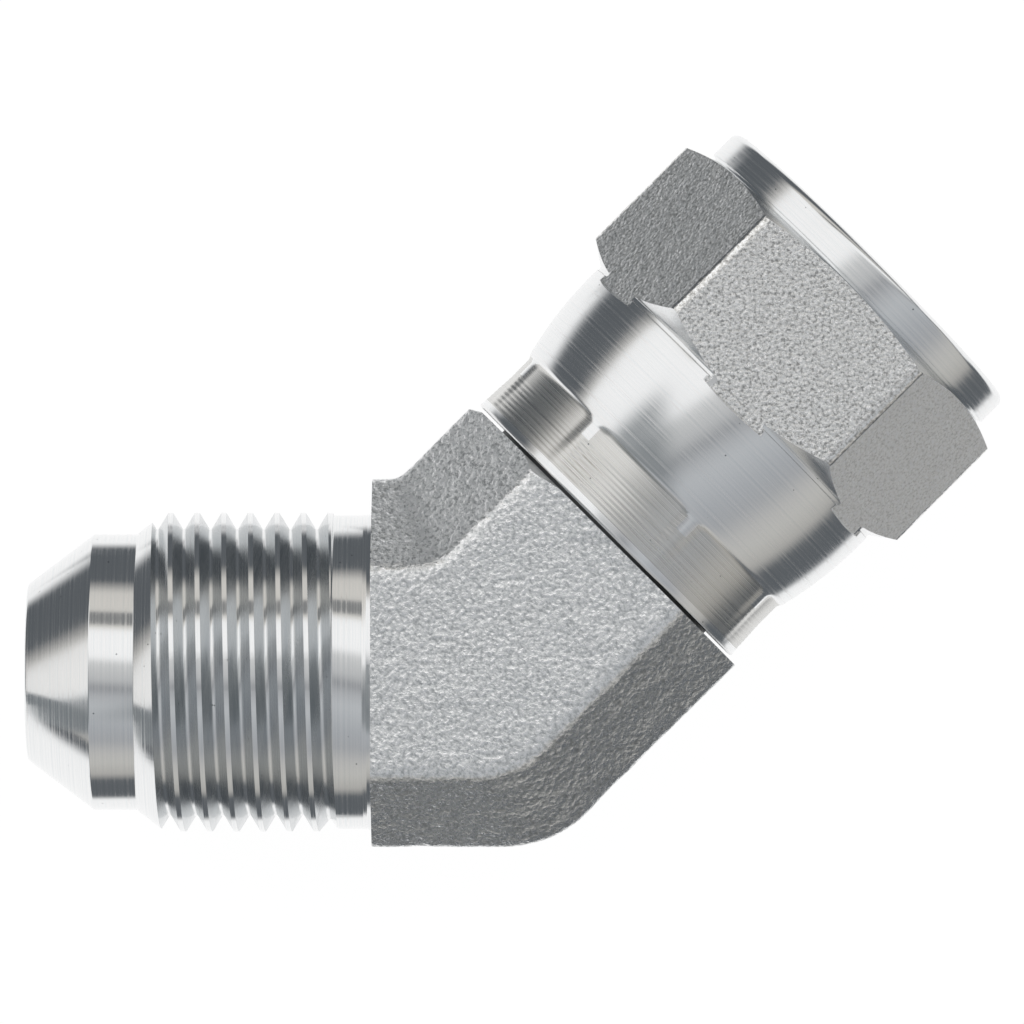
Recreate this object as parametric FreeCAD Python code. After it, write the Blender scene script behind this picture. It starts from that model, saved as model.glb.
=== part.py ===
import FreeCAD, Part

import math
import os

from FreeCAD import Placement, Rotation, Vector

# A 45 degree elbow adapter for hydraulic lines, in millimetres. A steel forging
# carries a 37 degree flared male end on its short run arm and a turned tail on
# its branch arm. A swivel nut is crimped over the tail's shoulder and turns
# freely on it. The origin is where the two bore axes cross. The run arm points
# to -X, the branch arm rises from +X towards +Y, and the plane of the bend is Z = 0.
# Distances called "from the crossing" are measured along the arm's own axis.

# Bend and flow passage
BEND_DEG = 45.0
BORE_DIAMETER = 8.7
SEAT_ANGLE_DEG = 37.0

# Forging, an eight-sided section: upright sides, and a bevel between them and each wrench flat
ACROSS_FLATS = 19.05
HEEL_SIDE = 6.8
THROAT_SIDE = 2.0
RUN_HEEL = 10.35
RUN_HEEL_FLAT = 6.05
RUN_THROAT = 11.5
RUN_THROAT_FLAT = 6.38
BRANCH_HEEL = 11.12
BRANCH_HEEL_FLAT = 6.43
BRANCH_THROAT = 11.0
BRANCH_THROAT_FLAT = 5.61
HEEL_RADIUS = 7.0
HEEL_FLAT_RADIUS = 5.4
THROAT_RADIUS = 1.0
THROAT_FLAT_RADIUS = 2.4
FORGED_EDGE_RADIUS = 0.6
RUN_FACE = 5.45
BRANCH_FACE = 11.75
BRANCH_FACE_DIAMETER = 20.4
FACE_CHAMFER_DEG = 30.0
FORGING_STOCK = 3.0

# Both threads are 3/4-16 UNF. The male one is left as a cylinder of its major
# diameter, and the nut's as a bore of its minor diameter
THREAD_DIAMETER = 19.05
MALE_THREAD_DEPTH = 0.975
NUT_THREAD_DEPTH = 0.775

# Male end, from its nose back to the forging
RUN_LENGTH = 26.0
NOSE_WALL = 0.91
NOSE_CHAMFER = 0.2
LAND_STEP = 0.325
LAND_LENGTH = 2.65
LEAD_LENGTH = 1.1
THREAD_CHAMFER_DEG = 45.0
NECK_STEP = 0.165
NECK_LENGTH = 2.3

# Tail that carries the nut
TAIL_DIAMETER = 17.0
TAIL_LENGTH = 11.05
SHOULDER_HEIGHT = 0.9
SHOULDER_LENGTH = 2.5
SHOULDER_SLOPE_DEG = 45.0
TIP_HEIGHT = 0.05
TIP_CHAMFER = 0.3
TIP_NECK_LENGTH = 1.9
SEAT_RIM = 0.6

# Swivel nut, from its crimped collar to its front lip
NUT_END_GAP = 0.2
NUT_LENGTH = 22.4
COLLAR_CLEARANCE = 0.1
COLLAR_WALL = 2.0
COLLAR_LENGTH = 4.2
COLLAR_CHAMFER = 0.15
CAVITY_CLEARANCE = 0.25
NUT_PLAY = 0.6
SHELL_WALL = 1.7
SHELL_LENGTH = 6.5
SHELL_BULGE = 0.24
GROOVE_DEPTH = 0.05
GROOVE_LENGTH = 0.25
NUT_ACROSS_FLATS = 22.225
HEX_TONGUE = 0.4
HEX_BACK_CHAMFER_DEG = 35.0
HEX_FRONT_CHAMFER_DEG = 21.0
NUT_THREAD_LENGTH = 8.65
MOUTH_RELIEF = 0.275
MOUTH_DEG = 45.0
LIP_WALL = 1.5
LIP_LENGTH = 1.92
LIP_RELIEF_DEPTH = 0.27
LIP_RELIEF_LENGTH = 0.2
LIP_CHAMFER = 0.3

# Crimping jaw marks round the collar
JAW_COUNT = 8
JAW_WIDTH_DEG = 39.5
JAW_PHASE_DEG = -5.25
JAW_DEPTH = 0.16
JAW_BACK_MARGIN = 0.5
JAW_CORNER = 0.8

# Radii that follow from the sizes above
BORE_RADIUS = BORE_DIAMETER / 2
NOSE_RADIUS = BORE_RADIUS + NOSE_WALL
MALE_MAJOR_RADIUS = THREAD_DIAMETER / 2
MALE_MINOR_RADIUS = MALE_MAJOR_RADIUS - MALE_THREAD_DEPTH
LAND_RADIUS = MALE_MINOR_RADIUS - LAND_STEP
NECK_RADIUS = MALE_MAJOR_RADIUS - NECK_STEP
TAIL_RADIUS = TAIL_DIAMETER / 2
SHOULDER_RADIUS = TAIL_RADIUS + SHOULDER_HEIGHT
TIP_RADIUS = TAIL_RADIUS + TIP_HEIGHT
SEAT_RADIUS = TIP_RADIUS - SEAT_RIM
COLLAR_BORE_RADIUS = TAIL_RADIUS + COLLAR_CLEARANCE
COLLAR_RADIUS = COLLAR_BORE_RADIUS + COLLAR_WALL
CAVITY_RADIUS = SHOULDER_RADIUS + CAVITY_CLEARANCE
SHELL_RADIUS = CAVITY_RADIUS + SHELL_WALL
NUT_MINOR_RADIUS = THREAD_DIAMETER / 2 - NUT_THREAD_DEPTH
MOUTH_RADIUS = THREAD_DIAMETER / 2 + MOUTH_RELIEF
LIP_RADIUS = MOUTH_RADIUS + LIP_WALL


# How close a point lies to a plane that it is on
NEAR = 1e-3


def tan(degrees):
    return math.tan(math.radians(degrees))


def arm_point(along, radius):
    """A point of a turned profile: distance along the arm's axis, and radius."""
    return Vector(along, 0, radius)


def chain(points):
    """Straight edges that join a list of points in turn."""
    return [Part.makeLine(a, b) for a, b in zip(points, points[1:])]


def turned(edges):
    """The solid of revolution of a closed profile about the arm's axis."""
    face = Part.Face(Part.Wire(Part.__sortEdges__(edges)))
    return face.revolve(Vector(), Vector(1, 0, 0), 360)


def turned_polygon(profile):
    """A turned solid whose profile is straight from point to point."""
    points = [arm_point(along, radius) for along, radius in profile]
    return turned(chain(points + points[:1]))


def rod(radius, start, end):
    """A cylinder on the arm's axis."""
    return Part.makeCylinder(radius, end - start, Vector(start, 0, 0), Vector(1, 0, 0))


def on_run(shape):
    """Places a shape that was made on +X on the run arm."""
    return placed(shape, 180)


def on_branch(shape):
    """Places a shape that was made on +X on the branch arm."""
    return placed(shape, BEND_DEG)


def placed(shape, degrees):
    turn = Rotation(Vector(0, 0, 1), degrees)
    return shape.transformed(Placement(Vector(), turn).toMatrix())


# Forging

def rounded_corner(before, corner, after, radius):
    """An arc tangent to both sides of a corner, with the points where it starts and ends."""
    back = (before - corner).normalize()
    on = (after - corner).normalize()
    half_angle = back.getAngle(on) / 2
    reach = radius / math.tan(half_angle)
    start = corner + back * reach
    end = corner + on * reach
    towards_centre = (back + on).normalize()
    middle = corner + towards_centre * (radius / math.sin(half_angle) - radius)
    return start, Part.Arc(start, middle, end).toShape(), end


def plan_outline(run_heel, run_throat, branch_heel, branch_throat, heel_radius, throat_radius, height):
    """The forging's outline at one height, with a rounded heel and throat."""
    bend = math.radians(BEND_DEG)
    along = Vector(math.cos(bend), math.sin(bend), 0)
    heelward = Vector(math.sin(bend), -math.cos(bend), 0)
    lift = Vector(0, 0, height)
    run_end = -(RUN_FACE + FORGING_STOCK)
    branch_end = along * (BRANCH_FACE + FORGING_STOCK)

    def corner(y, offset):
        start = heelward * offset
        return start + along * ((y - start.y) / along.y)

    heel = corner(-run_heel, branch_heel) + lift
    throat = corner(run_throat, -branch_throat) + lift
    run_low = Vector(run_end, -run_heel, height)
    run_high = Vector(run_end, run_throat, height)
    branch_low = branch_end + heelward * branch_heel + lift
    branch_high = branch_end - heelward * branch_throat + lift
    heel_start, heel_arc, heel_end = rounded_corner(run_low, heel, branch_low, heel_radius)
    throat_start, throat_arc, throat_end = rounded_corner(branch_high, throat, run_high, throat_radius)
    return Part.Wire([
        Part.makeLine(run_low, heel_start), heel_arc,
        Part.makeLine(heel_end, branch_low), Part.makeLine(branch_low, branch_high),
        Part.makeLine(branch_high, throat_start), throat_arc,
        Part.makeLine(throat_end, run_high), Part.makeLine(run_high, run_low),
    ])


def forged_blank():
    """The forging as it leaves the die: upright sides, low in the throat and tall at the heel, and bevels."""
    top = ACROSS_FLATS / 2
    low = THROAT_SIDE / 2
    high = HEEL_SIDE / 2
    share = (high - low) / (top - low)

    def risen(edge, flat):
        """Where the throat's bevel stands at the height at which the heel's begins."""
        return edge + share * (flat - edge)

    edge = (RUN_HEEL, RUN_THROAT, BRANCH_HEEL, BRANCH_THROAT, HEEL_RADIUS, THROAT_RADIUS)
    middle = (RUN_HEEL, risen(RUN_THROAT, RUN_THROAT_FLAT), BRANCH_HEEL,
              risen(BRANCH_THROAT, BRANCH_THROAT_FLAT), HEEL_RADIUS,
              risen(THROAT_RADIUS, THROAT_FLAT_RADIUS))
    flat = (RUN_HEEL_FLAT, RUN_THROAT_FLAT, BRANCH_HEEL_FLAT, BRANCH_THROAT_FLAT,
            HEEL_FLAT_RADIUS, THROAT_FLAT_RADIUS)
    band = Part.Face(plan_outline(*edge, -low)).extrude(Vector(0, 0, THROAT_SIDE))
    upper = [Part.makeLoft([plan_outline(*edge, low), plan_outline(*middle, high)], True, True),
             Part.makeLoft([plan_outline(*middle, high), plan_outline(*flat, top)], True, True)]
    lower = [half.mirror(Vector(), Vector(0, 0, 1)) for half in upper]
    blank = band.fuse(upper + lower).removeSplitter()
    return blank.makeFillet(FORGED_EDGE_RADIUS, flat_edges(blank, top))


def flat_edges(blank, top):
    """The edges that bound the two wrench flats along the arms, apart from the cut ends."""
    bend = math.radians(BEND_DEG)
    along = Vector(math.cos(bend), math.sin(bend), 0)
    found = []
    for edge in blank.Edges:
        points = [edge.valueAt(p) for p in edge.ParameterRange]
        on_flat = all(abs(abs(p.z) - top) < NEAR for p in points)
        on_run_end = all(abs(p.x + RUN_FACE + FORGING_STOCK) < NEAR for p in points)
        on_branch_end = all(abs(p.dot(along) - BRANCH_FACE - FORGING_STOCK) < NEAR for p in points)
        if on_flat and not on_run_end and not on_branch_end:
            found.append(edge)
    return found


def faced_envelope():
    """What facing leaves at the branch end: a flat face inside a chamfer cone."""
    reach = 2 * BRANCH_HEEL + BRANCH_FACE
    face_radius = BRANCH_FACE_DIAMETER / 2
    drop = (reach - face_radius) * tan(FACE_CHAMFER_DEG)
    return turned_polygon([
        (-reach, 0), (-reach, reach), (BRANCH_FACE - drop, reach), (BRANCH_FACE, face_radius),
        (BRANCH_FACE, 0),
    ])


def machined_forging():
    """The forging with its run end faced square and its branch end faced and chamfered."""
    reach = 2 * (BRANCH_FACE + BRANCH_HEEL + RUN_THROAT)
    run_side = Part.makeBox(reach, 2 * reach, 2 * reach, Vector(-RUN_FACE, -reach, -reach))
    return forged_blank().common(run_side).common(on_branch(faced_envelope()))


# Turned ends of the body

def male_end():
    """Nose cone, land, thread lead, threaded length and neck, turned on the run arm."""
    cone_end = RUN_LENGTH - (LAND_RADIUS - NOSE_RADIUS) / tan(SEAT_ANGLE_DEG)
    land_end = cone_end - LAND_LENGTH
    lead_end = land_end - LEAD_LENGTH
    thread_start = lead_end - MALE_THREAD_DEPTH * tan(THREAD_CHAMFER_DEG)
    thread_end = RUN_FACE + NECK_LENGTH
    inside = RUN_FACE - FORGING_STOCK
    return on_run(turned_polygon([
        (RUN_LENGTH, 0), (RUN_LENGTH, NOSE_RADIUS - NOSE_CHAMFER),
        (RUN_LENGTH - NOSE_CHAMFER / tan(SEAT_ANGLE_DEG), NOSE_RADIUS + NOSE_CHAMFER),
        (cone_end, LAND_RADIUS), (land_end, LAND_RADIUS), (land_end, MALE_MINOR_RADIUS),
        (lead_end, MALE_MINOR_RADIUS), (thread_start, MALE_MAJOR_RADIUS),
        (thread_end, MALE_MAJOR_RADIUS), (thread_end, NECK_RADIUS), (inside, NECK_RADIUS), (inside, 0),
    ]))


def tail_stations():
    """Distances from the crossing along the tail: rear slope's start and end, the shoulder's end,
    the tip neck's start and the tip."""
    end = BRANCH_FACE + TAIL_LENGTH
    neck_start = end - TIP_NECK_LENGTH
    shoulder_end = neck_start - (SHOULDER_RADIUS - TIP_RADIUS) * tan(SHOULDER_SLOPE_DEG)
    shoulder_start = shoulder_end - SHOULDER_LENGTH
    slope_start = shoulder_start - SHOULDER_HEIGHT / tan(SHOULDER_SLOPE_DEG)
    return slope_start, shoulder_start, shoulder_end, neck_start, end


def tail():
    """The tail on the branch arm: a journal, the shoulder that holds the nut, and the seat's rim."""
    slope_start, shoulder_start, shoulder_end, neck_start, end = tail_stations()
    inside = BRANCH_FACE - FORGING_STOCK
    return on_branch(turned_polygon([
        (inside, 0), (inside, TAIL_RADIUS), (slope_start, TAIL_RADIUS),
        (shoulder_start, SHOULDER_RADIUS), (shoulder_end, SHOULDER_RADIUS), (neck_start, TIP_RADIUS),
        (end - TIP_CHAMFER, TIP_RADIUS), (end, TIP_RADIUS - TIP_CHAMFER), (end, 0),
    ]))


def flow_passage():
    """Both drilled bores, the ball where they meet, and the flare seat in the tail's tip."""
    end = BRANCH_FACE + TAIL_LENGTH
    over = NOSE_WALL
    seat_bottom = end - (SEAT_RADIUS - BORE_RADIUS) / tan(SEAT_ANGLE_DEG)
    cone = turned_polygon([
        (seat_bottom, 0), (seat_bottom, BORE_RADIUS), (end, SEAT_RADIUS), (end + over, SEAT_RADIUS),
        (end + over, 0),
    ])
    run_bore = on_run(rod(BORE_RADIUS, 0, RUN_LENGTH + over))
    branch_bore = on_branch(rod(BORE_RADIUS, 0, end))
    return run_bore.fuse([branch_bore, Part.makeSphere(BORE_RADIUS), on_branch(cone)])


def elbow_body():
    """The whole body, one forged and machined piece."""
    return machined_forging().fuse([male_end(), tail()]).cut(flow_passage()).removeSplitter()


# Swivel nut

def nut_stations():
    """Distances from the crossing along the nut: its back, the collar's end, the shell's end, the
    lip's start and the nut's front."""
    back = BRANCH_FACE + NUT_END_GAP
    collar_end = back + COLLAR_LENGTH
    front = back + NUT_LENGTH
    return back, collar_end, collar_end + SHELL_LENGTH, front - LIP_LENGTH, front


def nut_turned_envelope():
    """Everything the lathe leaves of the nut's outside: collar, shell, both chamfers and lip."""
    back, collar_end, shell_end, lip_start, front = nut_stations()
    groove = SHELL_RADIUS - GROOVE_DEPTH
    groove_end = shell_end + GROOVE_LENGTH
    corner = NUT_ACROSS_FLATS / math.sqrt(3) + LIP_WALL
    back_corner = groove_end + (corner - groove) * tan(HEX_BACK_CHAMFER_DEG)
    relief = LIP_RADIUS - LIP_RELIEF_DEPTH
    relief_start = lip_start - LIP_RELIEF_LENGTH
    front_corner = relief_start - (corner - relief) * tan(HEX_FRONT_CHAMFER_DEG)
    crown = arm_point((collar_end + shell_end) / 2, (COLLAR_RADIUS + SHELL_RADIUS) / 2 + SHELL_BULGE)
    rise_start = arm_point(collar_end, COLLAR_RADIUS)
    rise_end = arm_point(shell_end, SHELL_RADIUS)
    rest = [
        (shell_end, SHELL_RADIUS), (shell_end, groove), (groove_end, groove), (back_corner, corner),
        (front_corner, corner), (relief_start, relief), (lip_start, relief), (lip_start, LIP_RADIUS),
        (front - LIP_CHAMFER, LIP_RADIUS), (front, LIP_RADIUS - LIP_CHAMFER), (front, 0), (back, 0),
        (back, COLLAR_RADIUS - COLLAR_CHAMFER), (back + COLLAR_CHAMFER, COLLAR_RADIUS),
        (collar_end, COLLAR_RADIUS),
    ]
    rise = Part.Arc(rise_start, crown, rise_end).toShape()
    return turned([rise] + chain([arm_point(*p) for p in rest]))


def nut_blank():
    """The nut's forging: a round skirt, a hexagon with a flat facing +Z, and a round lip."""
    back, _, shell_end, lip_start, front = nut_stations()
    hex_back = shell_end - HEX_TONGUE
    corner = NUT_ACROSS_FLATS / math.sqrt(3)
    corners = []
    for step in range(6):
        turn = math.radians(60 * step)
        corners.append(Vector(hex_back, corner * math.cos(turn), corner * math.sin(turn)))
    prism = Part.Face(Part.makePolygon(corners + corners[:1])).extrude(Vector(lip_start - hex_back, 0, 0))
    skirt = rod(SHELL_RADIUS + SHELL_BULGE, back, shell_end)
    return skirt.fuse([prism, rod(LIP_RADIUS, lip_start, front)])


def nut_hollow():
    """The nut's inside: the crimped collar bore, the cavity for the shoulder and the tapped bore."""
    back, _, _, _, front = nut_stations()
    over = COLLAR_WALL
    crimp_end = tail_stations()[0] - NUT_PLAY
    cavity_start = crimp_end + (CAVITY_RADIUS - COLLAR_BORE_RADIUS) / tan(SHOULDER_SLOPE_DEG)
    thread_front = front - (MOUTH_RADIUS - NUT_MINOR_RADIUS) / tan(MOUTH_DEG)
    thread_back = thread_front - NUT_THREAD_LENGTH
    cavity_end = thread_back - (CAVITY_RADIUS - NUT_MINOR_RADIUS)
    return turned_polygon([
        (back - over, 0), (back - over, COLLAR_BORE_RADIUS), (crimp_end, COLLAR_BORE_RADIUS),
        (cavity_start, CAVITY_RADIUS), (cavity_end, CAVITY_RADIUS), (thread_back, NUT_MINOR_RADIUS),
        (thread_front, NUT_MINOR_RADIUS), (front, MOUTH_RADIUS), (front + over, MOUTH_RADIUS),
        (front + over, 0),
    ])


def jaw_mark(centre_deg):
    """One crimping jaw's mark: a shallow curved pocket with rounded front corners."""
    back, collar_end, _, _, _ = nut_stations()
    floor = COLLAR_RADIUS - JAW_DEPTH
    outside = COLLAR_RADIUS + JAW_CORNER
    start = back + JAW_BACK_MARGIN
    pocket = Part.makePolygon([arm_point(start, floor), arm_point(collar_end, floor),
                               arm_point(collar_end, outside), arm_point(start, outside),
                               arm_point(start, floor)])
    sector = Part.Face(pocket).revolve(Vector(), Vector(1, 0, 0), JAW_WIDTH_DEG)
    radial = [edge for edge in sector.Edges if is_front_radial(edge, collar_end)]
    sector = sector.makeFillet(JAW_CORNER, radial)
    sector.rotate(Vector(), Vector(1, 0, 0), -centre_deg - JAW_WIDTH_DEG / 2)
    return sector


def is_front_radial(edge, front):
    """True for a straight edge that runs outwards at the pocket's front wall."""
    ends = [edge.valueAt(p) for p in edge.ParameterRange]
    radii = [math.hypot(p.y, p.z) for p in ends]
    at_front = all(abs(p.x - front) < NEAR for p in ends)
    return at_front and abs(radii[0] - radii[1]) > JAW_CORNER / 2


def swivel_nut():
    """The nut, one piece, with its collar already crimped over the tail's shoulder."""
    marks = [jaw_mark(JAW_PHASE_DEG + 360 / JAW_COUNT * n) for n in range(JAW_COUNT)]
    body = nut_blank().common(nut_turned_envelope()).cut(nut_hollow())
    return on_branch(body.cut(marks).removeSplitter())


def main():
    os.makedirs("parts", exist_ok=True)
    for name, make in (("elbow_body", elbow_body), ("swivel_nut", swivel_nut)):
        shape = make()
        solids = shape.Solids
        if len(solids) == 1:
            shape = solids[0]
        shape.exportStep("parts/" + name + ".step")
        box = shape.BoundBox
        print(name, "solids", len(solids), "valid", shape.isValid(), "volume", round(shape.Volume, 2),
              "x", round(box.XMin, 2), round(box.XMax, 2), "y", round(box.YMin, 2), round(box.YMax, 2),
              "z", round(box.ZMin, 2), round(box.ZMax, 2))


main()
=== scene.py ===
"""Dresses a 45 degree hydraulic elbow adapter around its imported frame.

The elbow lies on a white table with the plane of its bend level, seen from straight above.
All shapes are modelled in millimetres, in the frame's axes, and turned to metres when a piece is
finished. Distances called "along" run from the crossing of the two bores out along an arm, and
"turn" is the angle round an arm, from straight up towards the arm's side.
"""

from __future__ import annotations

import logging
import math
from collections.abc import Callable, Sequence
from dataclasses import dataclass
from enum import Enum, IntEnum

import bmesh
import bpy
import numpy as np
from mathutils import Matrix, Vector, noise

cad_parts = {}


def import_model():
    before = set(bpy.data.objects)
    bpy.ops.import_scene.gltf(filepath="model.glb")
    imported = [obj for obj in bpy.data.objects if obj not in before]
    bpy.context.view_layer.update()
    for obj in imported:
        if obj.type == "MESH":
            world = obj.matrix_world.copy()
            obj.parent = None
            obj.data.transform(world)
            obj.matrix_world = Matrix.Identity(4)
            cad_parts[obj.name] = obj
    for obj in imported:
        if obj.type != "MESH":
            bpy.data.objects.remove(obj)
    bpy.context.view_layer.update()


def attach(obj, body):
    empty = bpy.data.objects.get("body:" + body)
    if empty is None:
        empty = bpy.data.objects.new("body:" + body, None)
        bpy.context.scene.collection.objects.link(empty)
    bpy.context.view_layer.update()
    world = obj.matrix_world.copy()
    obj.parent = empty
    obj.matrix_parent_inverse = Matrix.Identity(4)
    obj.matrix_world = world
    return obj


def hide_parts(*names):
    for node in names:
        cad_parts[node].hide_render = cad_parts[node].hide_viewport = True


LOG = logging.getLogger("elbow_adapter")

MM = 0.001
SEED_OFFSET = Vector((31.7, -12.9, 57.3))

BEND_DEG = 45.0
PITCH = 1.5875
MAJOR_RADIUS = 9.525
BORE_RADIUS = 4.35
SEAT_ANGLE_DEG = 37.0
THREAD_FLANK_DEG = 30.0
HEXAGON_SECTOR = math.radians(60.0)


class Arm(Enum):
    """The elbow's two arms, each by the direction of its axis in the plane of the bend, in degrees."""

    RUN = 180.0
    BRANCH = BEND_DEG

    @property
    def axis(self) -> np.ndarray:
        """The unit vector from the crossing out along the arm."""
        angle = math.radians(self.value)
        return np.array((math.cos(angle), math.sin(angle), 0.0))

    @property
    def side(self) -> np.ndarray:
        """The unit vector across the arm in the plane of the bend."""
        angle = math.radians(self.value)
        return np.array((math.sin(angle), -math.cos(angle), 0.0))

    def points(self, along: np.ndarray, radius: np.ndarray, turn: np.ndarray) -> np.ndarray:
        """Places points given round the arm.

        Args:
            along: Distances from the crossing, in millimetres.
            radius: Distances from the arm's axis, in millimetres.
            turn: Angles round the axis, in radians.

        Returns:
            An array of x, y, z rows.
        """
        across = np.multiply.outer(radius * np.sin(turn), self.side)
        upward = np.multiply.outer(radius * np.cos(turn), np.array((0.0, 0.0, 1.0)))
        return np.multiply.outer(along, self.axis) + across + upward


class Cut(Enum):
    """How one solid acts on another."""

    ADD = "UNION"
    REMOVE = "DIFFERENCE"
    KEEP_COMMON = "INTERSECT"


def smooth_step(value: np.ndarray) -> np.ndarray:
    """Eases from 0 to 1 as the value goes from 0 to 1."""
    clipped = np.clip(value, 0.0, 1.0)
    return clipped * clipped * (3.0 - 2.0 * clipped)


def solid(name: str, points: np.ndarray, faces: Sequence[Sequence[int]]) -> bpy.types.Object:
    """Makes a closed mesh object with its faces turned outwards.

    Args:
        name: The object's name.
        points: Rows of x, y, z in millimetres.
        faces: Corner indices of each face.

    Returns:
        The new object, linked to the scene.
    """
    mesh = bpy.data.meshes.new(name)
    mesh.from_pydata([tuple(row) for row in points.tolist()], [], [tuple(f) for f in faces])
    work = bmesh.new()
    work.from_mesh(mesh)
    bmesh.ops.recalc_face_normals(work, faces=work.faces)
    work.to_mesh(mesh)
    work.free()
    piece = bpy.data.objects.new(name, mesh)
    bpy.context.scene.collection.objects.link(piece)
    return piece


def settle(piece: bpy.types.Object) -> None:
    """Applies a piece's modifiers to its mesh.

    Args:
        piece: The piece, which keeps no modifiers.
    """
    graph = bpy.context.evaluated_depsgraph_get()
    worked = bpy.data.meshes.new_from_object(piece.evaluated_get(graph))
    old = piece.data
    piece.modifiers.clear()
    piece.data = worked
    bpy.data.meshes.remove(old)


def combine(piece: bpy.types.Object, cut: Cut, tool: bpy.types.Object) -> None:
    """Adds, removes or intersects a solid, and deletes it afterwards.

    Args:
        piece: The solid that stays.
        cut: What the tool does to it.
        tool: The solid that is used up.
    """
    modifier = piece.modifiers.new("combine", "BOOLEAN")
    modifier.operation = cut.value
    modifier.solver = "MANIFOLD"
    modifier.object = tool
    settle(piece)
    mesh = tool.data
    bpy.data.objects.remove(tool)
    bpy.data.meshes.remove(mesh)


@dataclass(frozen=True)
class Corner:
    """A corner of a turned profile, with the radius that rounds it, in millimetres."""

    along: float
    radius: float
    rounding: float = 0.0


def profile_points(corners: Sequence[Corner], closed: bool, arc_steps: int = 5) -> np.ndarray:
    """Turns the corners of a profile into points, with an arc at each rounded corner.

    Args:
        corners: The corners in order.
        closed: Whether the last corner joins the first.
        arc_steps: How many chords an arc has.

    Returns:
        Rows of distance along the arm and radius.
    """
    rows: list[tuple[float, float]] = []
    count = len(corners)
    for index, corner in enumerate(corners):
        here = Vector((corner.along, corner.radius))
        is_end = not closed and index in (0, count - 1)
        if corner.rounding <= 0.0 or is_end:
            rows.append(tuple(here))
            continue
        before = corners[index - 1]
        after = corners[(index + 1) % count]
        back = (Vector((before.along, before.radius)) - here).normalized()
        on = (Vector((after.along, after.radius)) - here).normalized()
        half = back.angle(on) / 2
        centre = here + (back + on).normalized() * (corner.rounding / math.sin(half))
        start = here + back * (corner.rounding / math.tan(half)) - centre
        end = here + on * (corner.rounding / math.tan(half)) - centre
        sweep = start.angle(end)
        for step in range(arc_steps + 1):
            share = step / arc_steps
            spoke = start * math.sin((1 - share) * sweep) + end * math.sin(share * sweep)
            rows.append(tuple(centre + spoke / math.sin(sweep)))
    return np.array(rows)


def bands(rows: int, width: int, ring: bool, closed: bool) -> list[Sequence[int]]:
    """Joins rows of points, each to the next, by faces with four corners.

    Args:
        rows: How many rows there are.
        width: How many points a row has.
        ring: Whether the last row joins the first.
        closed: Whether a row's last point joins its first.

    Returns:
        Corner indices of each face.
    """
    faces: list[Sequence[int]] = []
    for row in range(rows if ring else rows - 1):
        here = row * width
        there = (row + 1) % rows * width
        for index in range(width if closed else width - 1):
            beside = (index + 1) % width
            faces.append((here + index, here + beside, there + beside, there + index))
    return faces


def lathe(
    name: str,
    arm: Arm,
    rows: np.ndarray,
    steps: int,
    relief: Callable[[np.ndarray, np.ndarray, np.ndarray], np.ndarray] | None = None,
) -> bpy.types.Object:
    """Turns a closed profile, clear of the axis, into a ring-shaped solid.

    Args:
        name: The object's name.
        arm: The arm whose axis it is turned about.
        rows: The profile's points: distance along and radius.
        steps: How many flats the turned faces have.
        relief: Gives the radius from along, radius and turn, where the surface isn't quite round.

    Returns:
        The new object.
    """
    count = len(rows)
    turn = np.repeat(np.arange(steps) * (2 * math.pi / steps), count)
    along = np.tile(rows[:, 0], steps)
    radius = np.tile(rows[:, 1], steps)
    if relief is not None:
        radius = relief(along, radius, turn)
    return solid(name, arm.points(along, radius, turn), bands(steps, count, ring=True, closed=True))


def plug(name: str, arm: Arm, rows: Sequence[tuple[float, float]], steps: int) -> bpy.types.Object:
    """Turns a profile whose ends stand on the axis into a full solid, such as a drill's shape.

    Args:
        name: The object's name.
        arm: The arm whose axis it is turned about.
        rows: The profile between its two ends: distance along and radius.
        steps: How many flats the turned faces have.

    Returns:
        The new object.
    """
    count = len(rows)
    grid = np.array(rows)
    turn = np.repeat(np.arange(steps) * (2 * math.pi / steps), count)
    points = arm.points(np.tile(grid[:, 0], steps), np.tile(grid[:, 1], steps), turn)
    faces = bands(steps, count, ring=True, closed=False)
    faces.append([step * count for step in range(steps)])
    faces.append([step * count + count - 1 for step in range(steps)])
    return solid(name, points, faces)


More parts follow.
